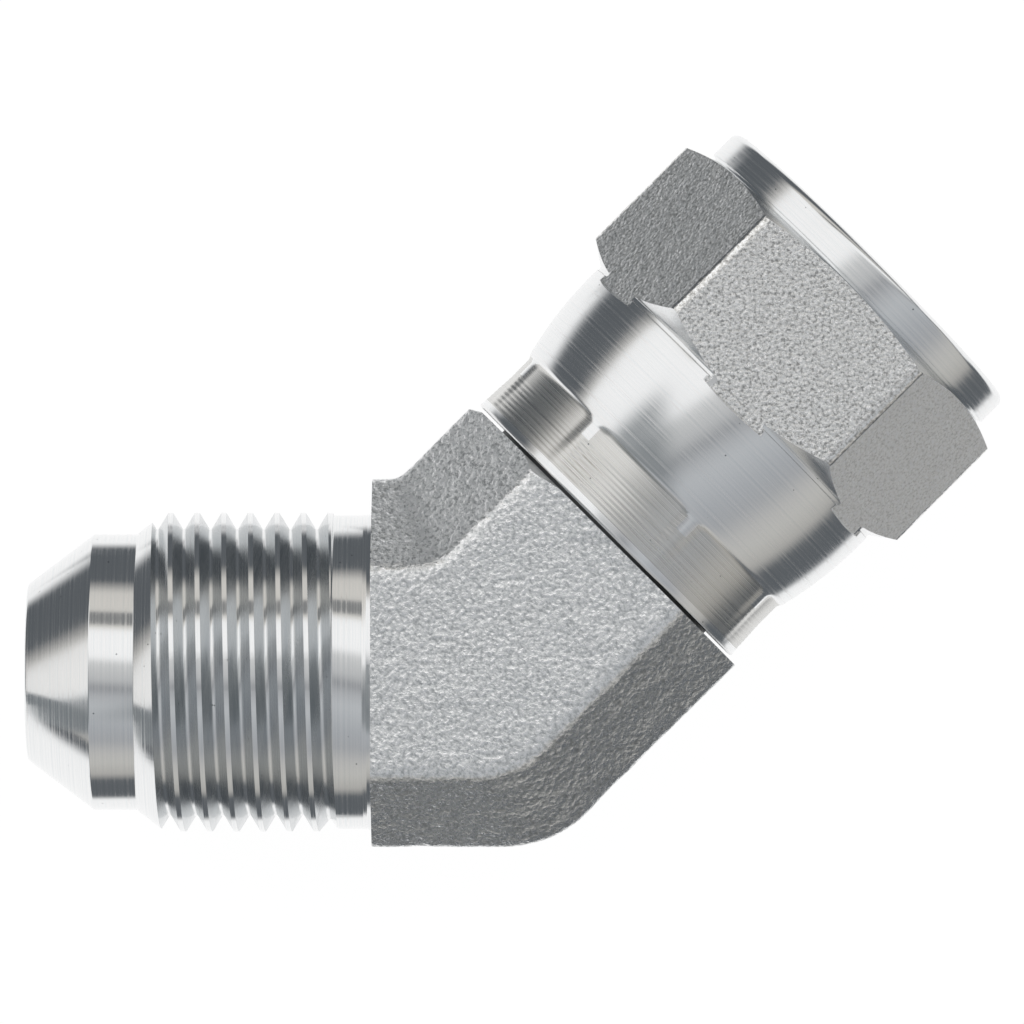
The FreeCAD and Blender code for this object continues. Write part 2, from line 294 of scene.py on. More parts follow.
@dataclass(frozen=True)
class ThreadTool:
    """A V-shaped thread tool that follows a right-hand helix, in millimetres.

    Attributes:
        arm: The arm that it cuts.
        root: The radius at the bottom of the groove.
        mouth: The radius at which the groove is open, past the metal.
        root_width: The width of the groove's bottom.
        phase: Where along the arm the groove passes turn zero, to within a pitch.
        first: Where along the arm it starts.
        last: Where along the arm it ends.
        run_out: How far along it leaves the metal at its first end.
        corner_share: The rounding of the groove's bottom corners against the bottom's width.
        full_lift: How far it has left the metal at its first end, as a share of its depth.
        steps: Sections for each turn.
    """

    arm: Arm
    root: float
    mouth: float
    root_width: float
    phase: float
    first: float
    last: float
    run_out: float
    corner_share: float = 0.3
    full_lift: float = 0.98
    steps: int = 128

    def build(self) -> bpy.types.Object:
        """Sweeps the groove's section along the helix.

        Returns:
            The tool as a closed solid, for cutting.
        """
        deep = self.mouth - self.root
        open_width = self.root_width + 2 * abs(deep) * math.tan(math.radians(THREAD_FLANK_DEG))
        rounding = self.corner_share * self.root_width
        section = (
            (-open_width / 2, 1.0),
            (-self.root_width / 2, rounding / abs(deep)),
            (-self.root_width / 2 + rounding, 0.0),
            (self.root_width / 2 - rounding, 0.0),
            (self.root_width / 2, rounding / abs(deep)),
            (open_width / 2, 1.0),
        )
        begin = math.floor((self.first - self.phase) / PITCH * self.steps)
        finish = math.ceil((self.last - self.phase) / PITCH * self.steps)
        index = np.arange(begin, finish + 1)
        turn = index * (2 * math.pi / self.steps)
        centre = self.phase + index * (PITCH / self.steps)
        lift = self.full_lift * smooth_step((self.first + self.run_out - centre) / self.run_out)
        rows = []
        for offset, share in section:
            radius = self.root + deep * np.maximum(share, lift + share * (1 - lift))
            rows.append(self.arm.points(centre + offset, radius, turn))
        points = np.stack(rows, axis=1).reshape(-1, 3)
        width = len(section)
        faces = bands(len(index), width, ring=False, closed=True)
        faces.append(range(width))
        faces.append(range((len(index) - 1) * width, len(index) * width))
        return solid("thread_tool", points, faces)


def roughen(piece: bpy.types.Object, layers: Sequence[tuple[float, float]], lowest_y: float) -> None:
    """Moves a mesh's points along their normals by layers of noise.

    Args:
        piece: The piece whose skin is uneven.
        layers: For each layer the width of its bumps and their height, in millimetres.
        lowest_y: The side that no point passes, in millimetres.
    """
    mesh = piece.data
    count = len(mesh.vertices)
    points = np.empty(count * 3)
    normals = np.empty(count * 3)
    mesh.vertices.foreach_get("co", points)
    mesh.vertex_normals.foreach_get("vector", normals)
    points = points.reshape(-1, 3)
    move = np.zeros(count)
    for width, height in layers:
        values = [noise.noise(Vector(row) / width + SEED_OFFSET) for row in points.tolist()]
        move += height * np.array(values)
    points += normals.reshape(-1, 3) * move[:, None]
    points[:, 1] = np.maximum(points[:, 1], lowest_y)
    mesh.vertices.foreach_set("co", points.ravel())
    mesh.update()


def finish_piece(piece: bpy.types.Object, sharp_deg: float) -> None:
    """Turns a piece from millimetres to metres and shades it smooth between its sharp edges.

    Args:
        piece: The piece, in millimetres.
        sharp_deg: The angle between two faces from which their edge is sharp.
    """
    mesh = piece.data
    count = len(mesh.vertices)
    points = np.empty(count * 3)
    mesh.vertices.foreach_get("co", points)
    mesh.vertices.foreach_set("co", points * MM)
    mesh.shade_smooth()
    mesh.set_sharp_from_angle(angle=math.radians(sharp_deg))
    mesh.update()


def face_table(piece: bpy.types.Object, arm: Arm) -> dict[str, np.ndarray]:
    """Lists where each face of a piece lies round an arm.

    Args:
        piece: The piece, still in millimetres.
        arm: The arm.

    Returns:
        The faces' distance along the arm, radius and turn, and their normal's share along the arm,
        towards the arm's side and outwards.
    """
    mesh = piece.data
    count = len(mesh.polygons)
    centres = np.empty(count * 3)
    normals = np.empty(count * 3)
    mesh.polygons.foreach_get("center", centres)
    mesh.polygons.foreach_get("normal", normals)
    centres = centres.reshape(-1, 3)
    normals = normals.reshape(-1, 3)
    along = centres @ arm.axis
    across = centres @ arm.side
    radius = np.hypot(across, centres[:, 2])
    outward = (normals @ arm.side) * across + normals[:, 2] * centres[:, 2]
    return {
        "along": along,
        "radius": radius,
        "turn": np.arctan2(across, centres[:, 2]),
        "facing": normals @ arm.axis,
        "sideways": normals @ arm.side,
        "outward": outward / np.maximum(radius, 1e-6),
    }


def linear(hex_colour: str) -> tuple[float, float, float, float]:
    """Turns an sRGB hex colour into a linear one.

    Args:
        hex_colour: The colour as # and six hex digits.

    Returns:
        Linear red, green, blue and alpha.
    """
    channels = [int(hex_colour[i:i + 2], 16) / 255 for i in (1, 3, 5)]
    values = [c / 12.92 if c <= 0.04045 else ((c + 0.055) / 1.055) ** 2.4 for c in channels]
    return values[0], values[1], values[2], 1.0


def add_node(tree: bpy.types.NodeTree, kind: str, inputs: dict | None = None, **settings) -> bpy.types.Node:
    """Adds a node to a tree.

    Args:
        tree: The material's or the world's node tree.
        kind: The node's type, such as ShaderNodeBump.
        inputs: For an input's name or number, the value it is set to or the output linked to it.
        **settings: The node's own settings.

    Returns:
        The node.
    """
    node = tree.nodes.new(kind)
    for name, value in settings.items():
        setattr(node, name, value)
    for key, value in (inputs or {}).items():
        if isinstance(value, bpy.types.NodeSocket):
            tree.links.new(value, node.inputs[key])
        else:
            node.inputs[key].default_value = value
    return node


def ramp(node: bpy.types.Node, stops: Sequence[tuple[float, tuple]]) -> None:
    """Sets a colour ramp's stops.

    Args:
        node: The colour ramp's node.
        stops: For each stop its place from 0 to 1 and its linear colour.
    """
    elements = node.color_ramp.elements
    while len(elements) > 1:
        elements.remove(elements[-1])
    elements[0].position, elements[0].color = stops[0]
    for place, colour in stops[1:]:
        elements.new(place).color = colour


def fresh_material(name: str) -> tuple[bpy.types.Material, bpy.types.NodeTree, bpy.types.NodeSocket]:
    """Makes a material with nothing but the point's place.

    Args:
        name: The material's name.

    Returns:
        The material, its node tree and the point's place in millimetres.
    """
    material = bpy.data.materials.new(name)
    material.use_nodes = True
    tree = material.node_tree
    tree.nodes.clear()
    metres = {0: add_node(tree, "ShaderNodeTexCoord").outputs["Object"], "Scale": 1 / MM}
    place = add_node(tree, "ShaderNodeVectorMath", metres, operation="SCALE").outputs[0]
    return material, tree, place


def close_metal(
    tree: bpy.types.NodeTree,
    colour: bpy.types.NodeSocket,
    roughness: bpy.types.NodeSocket,
    height: bpy.types.NodeSocket,
    depth_mm: float,
) -> None:
    """Ends a metal's tree with its relief, its shader and the output.

    Args:
        tree: The material's node tree.
        colour: The metal's colour.
        roughness: Its roughness.
        height: The relief's height, from 0 to about 1.
        depth_mm: How high the relief's 1 stands.
    """
    relief = {"Strength": 1.0, "Distance": depth_mm * MM, "Height": height}
    bump = add_node(tree, "ShaderNodeBump", relief)
    skin = {"Base Color": colour, "Metallic": 1.0, "Roughness": roughness, "Normal": bump.outputs[0]}
    shader = add_node(tree, "ShaderNodeBsdfPrincipled", skin)
    add_node(tree, "ShaderNodeOutputMaterial", {"Surface": shader.outputs[0]})


@dataclass(frozen=True)
class BlastedForging:
    """Zinc-plated carbon steel as it left the forging die and the shot blaster.

    The shot leaves overlapping craters with rubbed, bright rims and dull floors, so the skin
    glitters in points instead of showing bands. It strikes the steep sides slantwise, where the
    craters are longer.

    Attributes:
        name: The material's name.
        rim_colour: The colour of the rubbed rims.
        colour: The colour between rims and floors.
        pit_colour: The colour of the floors.
        roughness: The roughness between rims and floors.
        dulling: How much rougher the floors are.
        rubbing: How much smoother the rims are.
        crater_mm: The craters' width.
        crater_blend: How softly one crater meets the next.
        crater_share: The craters' height against the grain's.
        grain_mm: The grain's width.
        grain_detail: How many finer layers the grain has.
        grain_decay: How strong each finer layer is against the one before.
        depth_mm: The height of the whole relief.
        tint_stops: The grain's heights that have the pits', the middle and the rims' colour.
        gloss_stops: The grain's heights between which the roughness falls.
        squeeze: How much the relief is drawn out upright.
    """

    name: str = "blasted_forging_zinc"
    rim_colour: str = "#FFFFFF"
    colour: str = "#F0F1F1"
    pit_colour: str = "#CBCDCE"
    roughness: float = 0.33
    dulling: float = 0.04
    rubbing: float = 0.14
    crater_mm: float = 0.4
    crater_blend: float = 0.3
    crater_share: float = 0.6
    grain_mm: float = 0.24
    grain_detail: float = 2.5
    grain_decay: float = 0.6
    depth_mm: float = 0.068
    tint_stops: tuple[float, float, float] = (0.36, 0.5, 0.64)
    gloss_stops: tuple[float, float] = (0.45, 0.68)
    squeeze: float = 0.6

    def build(self) -> bpy.types.Material:
        """Builds the finish.

        Returns:
            The material.
        """
        material, tree, true_place = fresh_material(self.name)
        drawn_out = {0: true_place, 1: (1.0, 1.0, self.squeeze)}
        place = add_node(tree, "ShaderNodeVectorMath", drawn_out, operation="MULTIPLY").outputs[0]
        cells = {"Vector": place, "Scale": 1 / self.crater_mm, "Smoothness": self.crater_blend}
        craters = add_node(tree, "ShaderNodeTexVoronoi", cells, feature="SMOOTH_F1")
        grains = {"Vector": place, "Scale": 1 / self.grain_mm}
        layers = {"Detail": self.grain_detail, "Roughness": self.grain_decay}
        grain = add_node(tree, "ShaderNodeTexNoise", {**grains, **layers}).outputs["Fac"]
        heights = {0: craters.outputs["Distance"], 1: self.crater_share, 2: grain}
        height = add_node(tree, "ShaderNodeMath", heights, operation="MULTIPLY_ADD").outputs[0]
        tint = add_node(tree, "ShaderNodeValToRGB", {"Fac": grain})
        colours = (self.pit_colour, self.colour, self.rim_colour)
        ramp(tint, [(stop, linear(colour)) for stop, colour in zip(self.tint_stops, colours)])
        span = {"From Min": self.gloss_stops[0], "From Max": self.gloss_stops[1]}
        worn = {"To Min": self.roughness + self.dulling, "To Max": self.roughness - self.rubbing}
        gloss = add_node(tree, "ShaderNodeMapRange", {"Value": grain, **span, **worn}).outputs[0]
        close_metal(tree, tint.outputs["Color"], gloss, height, self.depth_mm)
        return material


@dataclass(frozen=True)
class DrawnFlat(BlastedForging):
    """The nut's flats: a zinc-plated, cold-drawn bar skin under a coarse blast.

    Its grains are sharper than the forging's, each at its own small tilt, so single grains flash.
    """

    name: str = "drawn_flat_zinc"
    colour: str = "#F8F8F7"
    pit_colour: str = "#B0B0B0"
    roughness: float = 0.38
    dulling: float = 0.05
    rubbing: float = 0.18
    crater_mm: float = 0.21 / 0.9
    crater_blend: float = 0.2
    crater_share: float = -0.8
    grain_mm: float = 0.21
    grain_detail: float = 3.0
    grain_decay: float = 0.7
    depth_mm: float = 0.06
    tint_stops: tuple[float, float, float] = (0.36, 0.5, 0.62)
    squeeze: float = 1.0


@dataclass(frozen=True)
class TurnedSteel:
    """Zinc-plated steel turned on a lathe.

    The tool leaves rings round the axis, each a little duller or smoother than the next, so the
    reflections run along the arm as long bands with frayed edges. The real feed, about 0.05 mm, is
    finer than a pixel, so the rings are drawn coarser. On faces they lie one inside the other. A
    few pin marks break the shine.

    Attributes:
        name: The material's name.
        arm: The arm that it was turned about.
        colour: The colour of the smooth rings.
        streak_colour: The colour of the dull rings.
        mark_colour: The colour of the pin marks.
        roughness: The roughness of the smooth rings.
        fraying: How much rougher the dull rings are.
        wearing: How much rougher the worn places are.
        ring_mm: The rings' width.
        ring_depth_mm: The rings' depth.
        facing_share: How far the rings drift with the radius, which draws them on faces.
        pit_mm: The width of the plating's fine grain.
        mark_spacing_mm: How far apart the pin marks lie.
        mark_mm: The pin marks' radius.
        wear_mm: The width of the worn places.
        tint_stops: The rings' heights at which they have the dull and the smooth colour.
        gloss_stops: The rings' heights between which the roughness rises.
        polish: How much smoother than the smooth rings the lowest ones are.
    """

    name: str
    arm: Arm
    colour: str = "#F2F2F2"
    streak_colour: str = "#E8EAEB"
    mark_colour: str = "#8A8D8F"
    roughness: float = 0.06
    fraying: float = 0.13
    wearing: float = 0.08
    ring_mm: float = 0.16
    ring_depth_mm: float = 0.0002
    facing_share: float = 0.5
    pit_mm: float = 0.22
    mark_spacing_mm: float = 1.1
    mark_mm: float = 0.05
    wear_mm: float = 1.25
    tint_stops: tuple[float, float] = (0.35, 0.6)
    gloss_stops: tuple[float, float] = (0.4, 0.75)
    polish: float = 0.02

    def build(self) -> bpy.types.Material:
        """Builds the finish.

        Returns:
            The material.
        """
        material, tree, place = fresh_material(self.name)
        by_axis = {0: place, 1: tuple(self.arm.axis)}
        along = add_node(tree, "ShaderNodeVectorMath", by_axis, operation="DOT_PRODUCT").outputs["Value"]
        crossed = add_node(tree, "ShaderNodeVectorMath", by_axis, operation="CROSS_PRODUCT").outputs[0]
        radius = add_node(tree, "ShaderNodeVectorMath", {0: crossed}, operation="LENGTH").outputs["Value"]
        drift = {0: radius, 1: -self.facing_share, 2: along}
        feed = add_node(tree, "ShaderNodeMath", drift, operation="MULTIPLY_ADD").outputs[0]
        ring_layers = {"W": feed, "Scale": 1 / self.ring_mm, "Detail": 4.0, "Roughness": 0.7}
        rings = add_node(tree, "ShaderNodeTexNoise", ring_layers, noise_dimensions="1D").outputs["Fac"]
        wear_layers = {"Vector": place, "Scale": 1 / self.wear_mm, "Detail": 4.0, "Roughness": 0.65}
        wear = add_node(tree, "ShaderNodeTexNoise", wear_layers).outputs["Fac"]
        pit_layers = {"Vector": place, "Scale": 1 / self.pit_mm, "Detail": 2.0, "Roughness": 0.6}
        pits = add_node(tree, "ShaderNodeTexNoise", pit_layers).outputs["Fac"]
        relief = {0: rings, 1: wear, 2: pits}
        height = add_node(tree, "ShaderNodeMath", relief, operation="MULTIPLY_ADD").outputs[0]
        cells = {"Vector": place, "Scale": 1 / self.mark_spacing_mm}
        marks = add_node(tree, "ShaderNodeTexVoronoi", cells, feature="F1").outputs["Distance"]
        reach = {0: marks, 1: self.mark_mm / self.mark_spacing_mm}
        marked = add_node(tree, "ShaderNodeMath", reach, operation="LESS_THAN").outputs[0]
        tint = add_node(tree, "ShaderNodeValToRGB", {"Fac": rings})
        colours = (self.streak_colour, self.colour)
        ramp(tint, [(stop, linear(colour)) for stop, colour in zip(self.tint_stops, colours)])
        blend = {0: marked, 6: tint.outputs["Color"], 7: linear(self.mark_colour)}
        skin = add_node(tree, "ShaderNodeMix", blend, data_type="RGBA").outputs[2]
        span = {"From Min": self.gloss_stops[0], "From Max": self.gloss_stops[1]}
        frayed = {"To Min": self.roughness - self.polish, "To Max": self.roughness + self.fraying}
        gloss = add_node(tree, "ShaderNodeMapRange", {"Value": rings, **span, **frayed}).outputs[0]
        duller = {0: wear, 1: self.wearing, 2: gloss}
        worn = add_node(tree, "ShaderNodeMath", duller, operation="MULTIPLY_ADD").outputs[0]
        close_metal(tree, skin, worn, height, self.ring_depth_mm)
        return material


class BodySkin(IntEnum):
    """The body's finishes, in the order of its material slots."""

    FORGED = 0
    RUN = 1
    BRANCH = 2
    TAIL = 3
    THREAD_FLANK = 4
    FACE_CHAMFER = 5
    THROAT = 6
    HEEL = 7


class NutSkin(IntEnum):
    """The nut's finishes, in the order of its material slots."""

    TURNED = 0
    TOP_FLAT = 1
    JAW_PRINT = 2
    HEXAGON_EDGE = 3
    THROAT_FLAT = 4
    HEEL_FLAT = 5


Finish = BlastedForging | TurnedSteel

BODY_FINISHES: dict[BodySkin, Finish] = {
    # the wrench flats glitter evenly
    BodySkin.FORGED: BlastedForging(),
    # the male end and its bore, with long bright bands
    BodySkin.RUN: TurnedSteel("turned_run_zinc", Arm.RUN),
    # the same on the branch's face and bore
    BodySkin.BRANCH: TurnedSteel("turned_branch_zinc", Arm.BRANCH),
    # a dull tail in the gap behind the nut, its colour darkened as painted shade for the gap
    BodySkin.TAIL: TurnedSteel(
        "turned_tail_painted_shade_zinc", Arm.BRANCH, colour="#8E8F90", streak_colour="#7C7D7E", roughness=0.5
    ),
    # flanks painted greyer than the crests, as painted shade in the thread's grooves
    BodySkin.THREAD_FLANK: TurnedSteel(
        "cut_thread_painted_shade_zinc", Arm.RUN, colour="#D8DADB", streak_colour="#CDD0D2", roughness=0.14
    ),
    # a matt grey facet with no bands
    BodySkin.FACE_CHAMFER: TurnedSteel("faced_chamfer_dull_zinc", Arm.BRANCH, roughness=0.55),
    # duller than the flats, so that the dark strips hardly show in it; its colour is a little lighter than
    # the flats', as painted light on the throat's bevels
    BodySkin.THROAT: BlastedForging(
        "blasted_throat_painted_light_zinc",
        colour="#FBFCFC",
        pit_colour="#BFC1C2",
        roughness=0.5,
        rubbing=0.22,
        depth_mm=0.12,
    ),
    # darker than the flats as painted shade on the heel's bevels, and a little smoother
    BodySkin.HEEL: BlastedForging(
        "blasted_heel_painted_shade_zinc",
        rim_colour="#F4F4F4",
        colour="#E2E3E3",
        pit_colour="#BBBCBC",
        roughness=0.3,
    ),
}

NUT_FINISHES: dict[NutSkin, Finish] = {
    # softer bands than the body's, with more fraying
    NutSkin.TURNED: TurnedSteel("turned_nut_zinc", Arm.BRANCH, roughness=0.11),
    # the deepest grain, in dark and bright points
    NutSkin.TOP_FLAT: DrawnFlat(depth_mm=0.12, rubbing=0.22),
    # satin, with the jaws' own fine rings
    NutSkin.JAW_PRINT: TurnedSteel(
        "pressed_jaw_print_zinc",
        Arm.BRANCH,
        colour="#E2E1DE",
        streak_colour="#D2D1CE",
        roughness=0.24,
        fraying=0.1,
    ),
    # rubbed bright, with hardly any grain
    NutSkin.HEXAGON_EDGE: DrawnFlat(
        "rubbed_edge_zinc", colour="#ECEBE8", pit_colour="#B5B4B2", roughness=0.2, depth_mm=0.02
    ),
    # darker, as painted shade on this pair of flats, with a low grain
    NutSkin.THROAT_FLAT: DrawnFlat(
        "drawn_flat_smooth_painted_shade_zinc",
        rim_colour="#F8F8F8",
        colour="#DCDDDC",
        pit_colour="#A8A9A8",
        rubbing=0.1,
        depth_mm=0.03,
    ),
    # matt and even, and painted lighter than the top flat, as painted light on this pair of flats
    NutSkin.HEEL_FLAT: DrawnFlat(
        "drawn_flat_dull_painted_light_zinc", colour="#FBFAF8", pit_colour="#E0DFDD", roughness=0.58, depth_mm=0.05
    ),
}


def dress(piece: bpy.types.Object, finishes: dict[IntEnum, Finish], index: np.ndarray) -> None:
    """Gives a piece its finishes.

    Args:
        piece: The piece.
        finishes: The finish of each material slot.
        index: For each face the number of its slot.
    """
    mesh = piece.data
    mesh.materials.clear()
    for slot in sorted(finishes):
        mesh.materials.append(finishes[slot].build())
    mesh.polygons.foreach_set("material_index", index)


@dataclass
class ForgedElbow:
    """The body: one steel forging with a turned male end, a turned tail and two bores.

    Attributes give the sizes in millimetres. Heel is the outside of the bend and throat the inside.
    On both, the forging's side stands upright up to its own height, heel_side or throat_side, and
    a bevel leads from there to the wrench flat, whose edge is given by the names that end in flat.
    A face's finish is told by its place, to within near, and by its slope: steep_side is its
    normal's least share towards heel or throat, and flank_facing its least share along the thread.
    """

    half_height: float = 9.525
    heel_side: float = 3.4
    throat_side: float = 1.0
    run_heel: float = 10.35
    run_heel_flat: float = 6.05
    run_throat: float = 11.5
    run_throat_flat: float = 6.38
    branch_heel: float = 11.06
    branch_heel_flat: float = 6.43
    branch_throat: float = 10.88
    branch_throat_flat: float = 5.61
    heel_radius: float = 7.0
    heel_flat_radius: float = 5.4
    throat_radius: float = 1.0
    throat_flat_radius: float = 2.4
    run_face: float = 5.45
    branch_face: float = 11.75
    branch_face_radius: float = 10.2
    face_chamfer_deg: float = 30.0
    stock: float = 3.0
    arc_steps: int = 16
    voxel: float = 0.24
    softening: int = 12
    unevenness: tuple[tuple[float, float], ...] = ((7.0, 0.08), (2.2, 0.035), (0.9, 0.03))
    run_length: float = 26.0
    nose_radius: float = 5.26
    land_radius: float = 8.225
    land_length: float = 2.65
    minor_radius: float = 8.55
    lead_length: float = 1.1
    neck_radius: float = 9.36
    neck_length: float = 2.3
    neck_fillet: float = 0.5
    neck_fillet_height: float = 0.155
    neck_fillet_middle: float = 0.045
    nose_break: float = 0.25
    groove_phase: float = 13.139
    groove_root_width: float = 0.19
    groove_run_out: float = 0.7
    groove_start: float = 0.25
    groove_clearance: float = 0.15
    lead_step: float = 0.1
    lead_deg: float = 37.0
    tail_radius: float = 8.5
    shoulder_radius: float = 9.4
    tip_radius: float = 8.55
    seat_radius: float = 7.95
    tip_length: float = 1.9
    shoulder_length: float = 2.5
    tail_length: float = 11.05
    flank_facing: float = 0.75
    steep_side: float = 0.9
    near: float = 0.02
    sharp_deg: float = 32.0
    steps: int = 192
    drill_steps: int = 96
    ball_step_deg: int = 6

    def bend(self, y: float, offset: float, radius: float) -> list[np.ndarray]:
        """Rounds the corner between a side of the run and a side of the branch.

        Args:
            y: The run's side, from the run's axis.
            offset: The branch's side, from the branch's axis towards the heel.
            radius: The radius of the bend.

        Returns:
            The points of the arc, from the run on.
        """
        axis = Arm.BRANCH.axis
        base = Arm.BRANCH.side * offset
        corner = base + axis * ((y - base[1]) / axis[1])
        half = math.radians(BEND_DEG / 2)
        outwards = np.array((math.sin(half), -math.cos(half), 0.0))
        centre = corner - outwards * (radius / math.cos(half))
        angles = np.linspace(0.0, 2 * half, self.arc_steps + 1)
        return [centre + radius * np.array((math.sin(angle), -math.cos(angle), 0.0)) for angle in angles]

    def outline(self, heel: tuple, throat: tuple, height: float) -> np.ndarray:
        """Draws the forging's outline at one height.

        Args:
            heel: The run's and the branch's distance from their axes on the heel side, and the
                radius of the bend there.
            throat: The same for the throat side.
            height: The height of the outline.

        Returns:
            Rows of x, y, z.
        """
        side = Arm.BRANCH.side
        run_end = -(self.run_face + self.stock)
        branch_end = Arm.BRANCH.axis * (self.branch_face + self.stock)
        low = [np.array((run_end, -heel[0], 0.0)), *self.bend(-heel[0], heel[1], heel[2])]
        low.append(branch_end + side * heel[1])
        high = [np.array((run_end, throat[0], 0.0)), *self.bend(throat[0], -throat[1], throat[2])]
        high.append(branch_end - side * throat[1])
        loop = np.array(low + high[::-1])
        loop[:, 2] = height
        return loop

    def blank(self) -> bpy.types.Object:
        """Makes the forging as it leaves the die and the blaster, with soft uneven edges.

        Returns:
            The forging, longer than needed at both ends.
        """
        heel = (self.run_heel, self.branch_heel, self.heel_radius)
        throat = (self.run_throat, self.branch_throat, self.throat_radius)
        heel_flat = (self.run_heel_flat, self.branch_heel_flat, self.heel_flat_radius)
        throat_flat = (self.run_throat_flat, self.branch_throat_flat, self.throat_flat_radius)
        share = (self.heel_side - self.throat_side) / (self.half_height - self.throat_side)
        risen = tuple(low + share * (high - low) for low, high in zip(throat, throat_flat))
        above = (
            ((heel, throat), self.throat_side),
            ((heel, risen), self.heel_side),
            ((heel_flat, throat_flat), self.half_height),
        )
        levels = [(sides, -height) for sides, height in reversed(above)] + list(above)
        loops = [self.outline(*sides, height) for sides, height in levels]
        count = len(loops[0])
        ends = (range(count), range((len(loops) - 1) * count, len(loops) * count))
        faces = [*ends, *bands(len(loops), count, ring=False, closed=True)]
        piece = solid("forged_elbow", np.concatenate(loops), faces)
        remesh = piece.modifiers.new("remesh", "REMESH")
        remesh.mode = "VOXEL"
        remesh.voxel_size = self.voxel
        soften = piece.modifiers.new("soften", "SMOOTH")
        soften.factor = 0.5
        soften.iterations = self.softening
        settle(piece)
        roughen(piece, self.unevenness, -self.run_heel)
        return piece

    def face(self, piece: bpy.types.Object) -> None:
        """Faces both ends of the forging, and chamfers the branch end where the throat stands proud.

        Args:
            piece: The forging.
        """
        reach = 40.0
        over = 1.0
        rise = (reach - self.branch_face_radius) * math.tan(math.radians(self.face_chamfer_deg))
        for arm, end in ((Arm.RUN, self.run_face), (Arm.BRANCH, self.branch_face)):
            combine(piece, Cut.KEEP_COMMON, plug("faced_side", arm, ((-reach, reach), (end, reach)), 4))
        ring = np.array((
            (self.branch_face - rise, reach),
            (self.branch_face, self.branch_face_radius),
            (self.branch_face + over, self.branch_face_radius),
            (self.branch_face + over, reach),
        ))
        chamfer = lathe("face_chamfer", Arm.BRANCH, ring, self.steps)
        combine(chamfer, Cut.KEEP_COMMON, self.throat_side_block(2 * reach))
        combine(piece, Cut.REMOVE, chamfer)

    def throat_side_block(self, size: float) -> bpy.types.Object:
        """Makes a block that fills the throat's side of the branch arm.

        Args:
            size: The block's length, depth and half height.

        Returns:
            The block.
        """
        axis = Arm.BRANCH.axis
        side = Arm.BRANCH.side
        up = np.array((0.0, 0.0, 1.0))
        ends = ((-size, -size), (size, -size), (size, 0.0), (-size, 0.0))
        corners = [axis * a + side * b + up * height for height in (-size, size) for a, b in ends]
        faces = [(0, 1, 2, 3), (4, 5, 6, 7), (0, 1, 5, 4), (1, 2, 6, 5), (2, 3, 7, 6), (3, 0, 4, 7)]
        return solid("throat_side", np.array(corners), faces)

    def male_end(self) -> bpy.types.Object:
        """Turns the nose cone, land, lead, thread and neck, and cuts the thread.

        Returns:
            The male end, whose inner end stands inside the forging.
        """
        slope = math.tan(math.radians(SEAT_ANGLE_DEG))
        cone_end = self.run_length - (self.land_radius - self.nose_radius) / slope
        land_end = cone_end - self.land_length
        lead_end = land_end - self.lead_length
        lead_radius = self.land_radius + self.lead_step
        thread_start = land_end - (MAJOR_RADIUS - lead_radius) / math.tan(math.radians(self.lead_deg))
        thread_end = self.run_face + self.neck_length
        fillet_top = self.neck_radius + self.neck_fillet_height
        inside = self.run_face - self.stock / 2
        core = BORE_RADIUS / 2
        corners = (
            Corner(inside, core),
            Corner(self.run_length, core),
            Corner(self.run_length, self.nose_radius, 0.3),
            Corner(cone_end, self.land_radius, 0.12),
            Corner(land_end, self.land_radius, 0.06),
            Corner(land_end, lead_radius, 0.03),
            Corner(thread_start, MAJOR_RADIUS, 0.08),
            Corner(thread_end, MAJOR_RADIUS, 0.08),
            Corner(thread_end, self.neck_radius, 0.08),
            Corner(self.run_face + self.neck_fillet, self.neck_radius, 0.1),
            Corner(self.run_face + self.neck_fillet / 2, self.neck_radius + self.neck_fillet_middle, 0.1),
            Corner(self.run_face, fillet_top),
            Corner(inside, fillet_top),
        )
        piece = lathe("male_end", Arm.RUN, profile_points(corners, closed=True), self.steps)
        groove = ThreadTool(
            arm=Arm.RUN,
            root=self.minor_radius + 0.005,
            mouth=MAJOR_RADIUS + self.groove_clearance,
            root_width=self.groove_root_width,
            phase=self.groove_phase,
            first=thread_end - self.groove_start,
            last=lead_end + PITCH / 2,
            run_out=self.groove_run_out,
        )
        combine(piece, Cut.REMOVE, groove.build())
        return piece

    def tail(self) -> bpy.types.Object:
        """Turns the tail, its shoulder and its tip.

        Returns:
            The tail, whose inner end stands inside the forging.
        """
        tip = self.branch_face + self.tail_length
        neck = tip - self.tip_length
        shoulder_end = neck - (self.shoulder_radius - self.tip_radius)
        shoulder_start = shoulder_end - self.shoulder_length
        slope_start = shoulder_start - (self.shoulder_radius - self.tail_radius)
        inside = self.branch_face - self.stock / 2
        core = BORE_RADIUS / 2
        corners = (
            Corner(inside, core),
            Corner(tip, core),
            Corner(tip, self.tip_radius, 0.25),
            Corner(neck, self.tip_radius, 0.3),
            Corner(shoulder_end, self.shoulder_radius, 0.3),
            Corner(shoulder_start, self.shoulder_radius, 0.3),
            Corner(slope_start, self.tail_radius, 0.3),
            Corner(inside, self.tail_radius),
        )
        return lathe("tail", Arm.BRANCH, profile_points(corners, closed=True), self.steps)

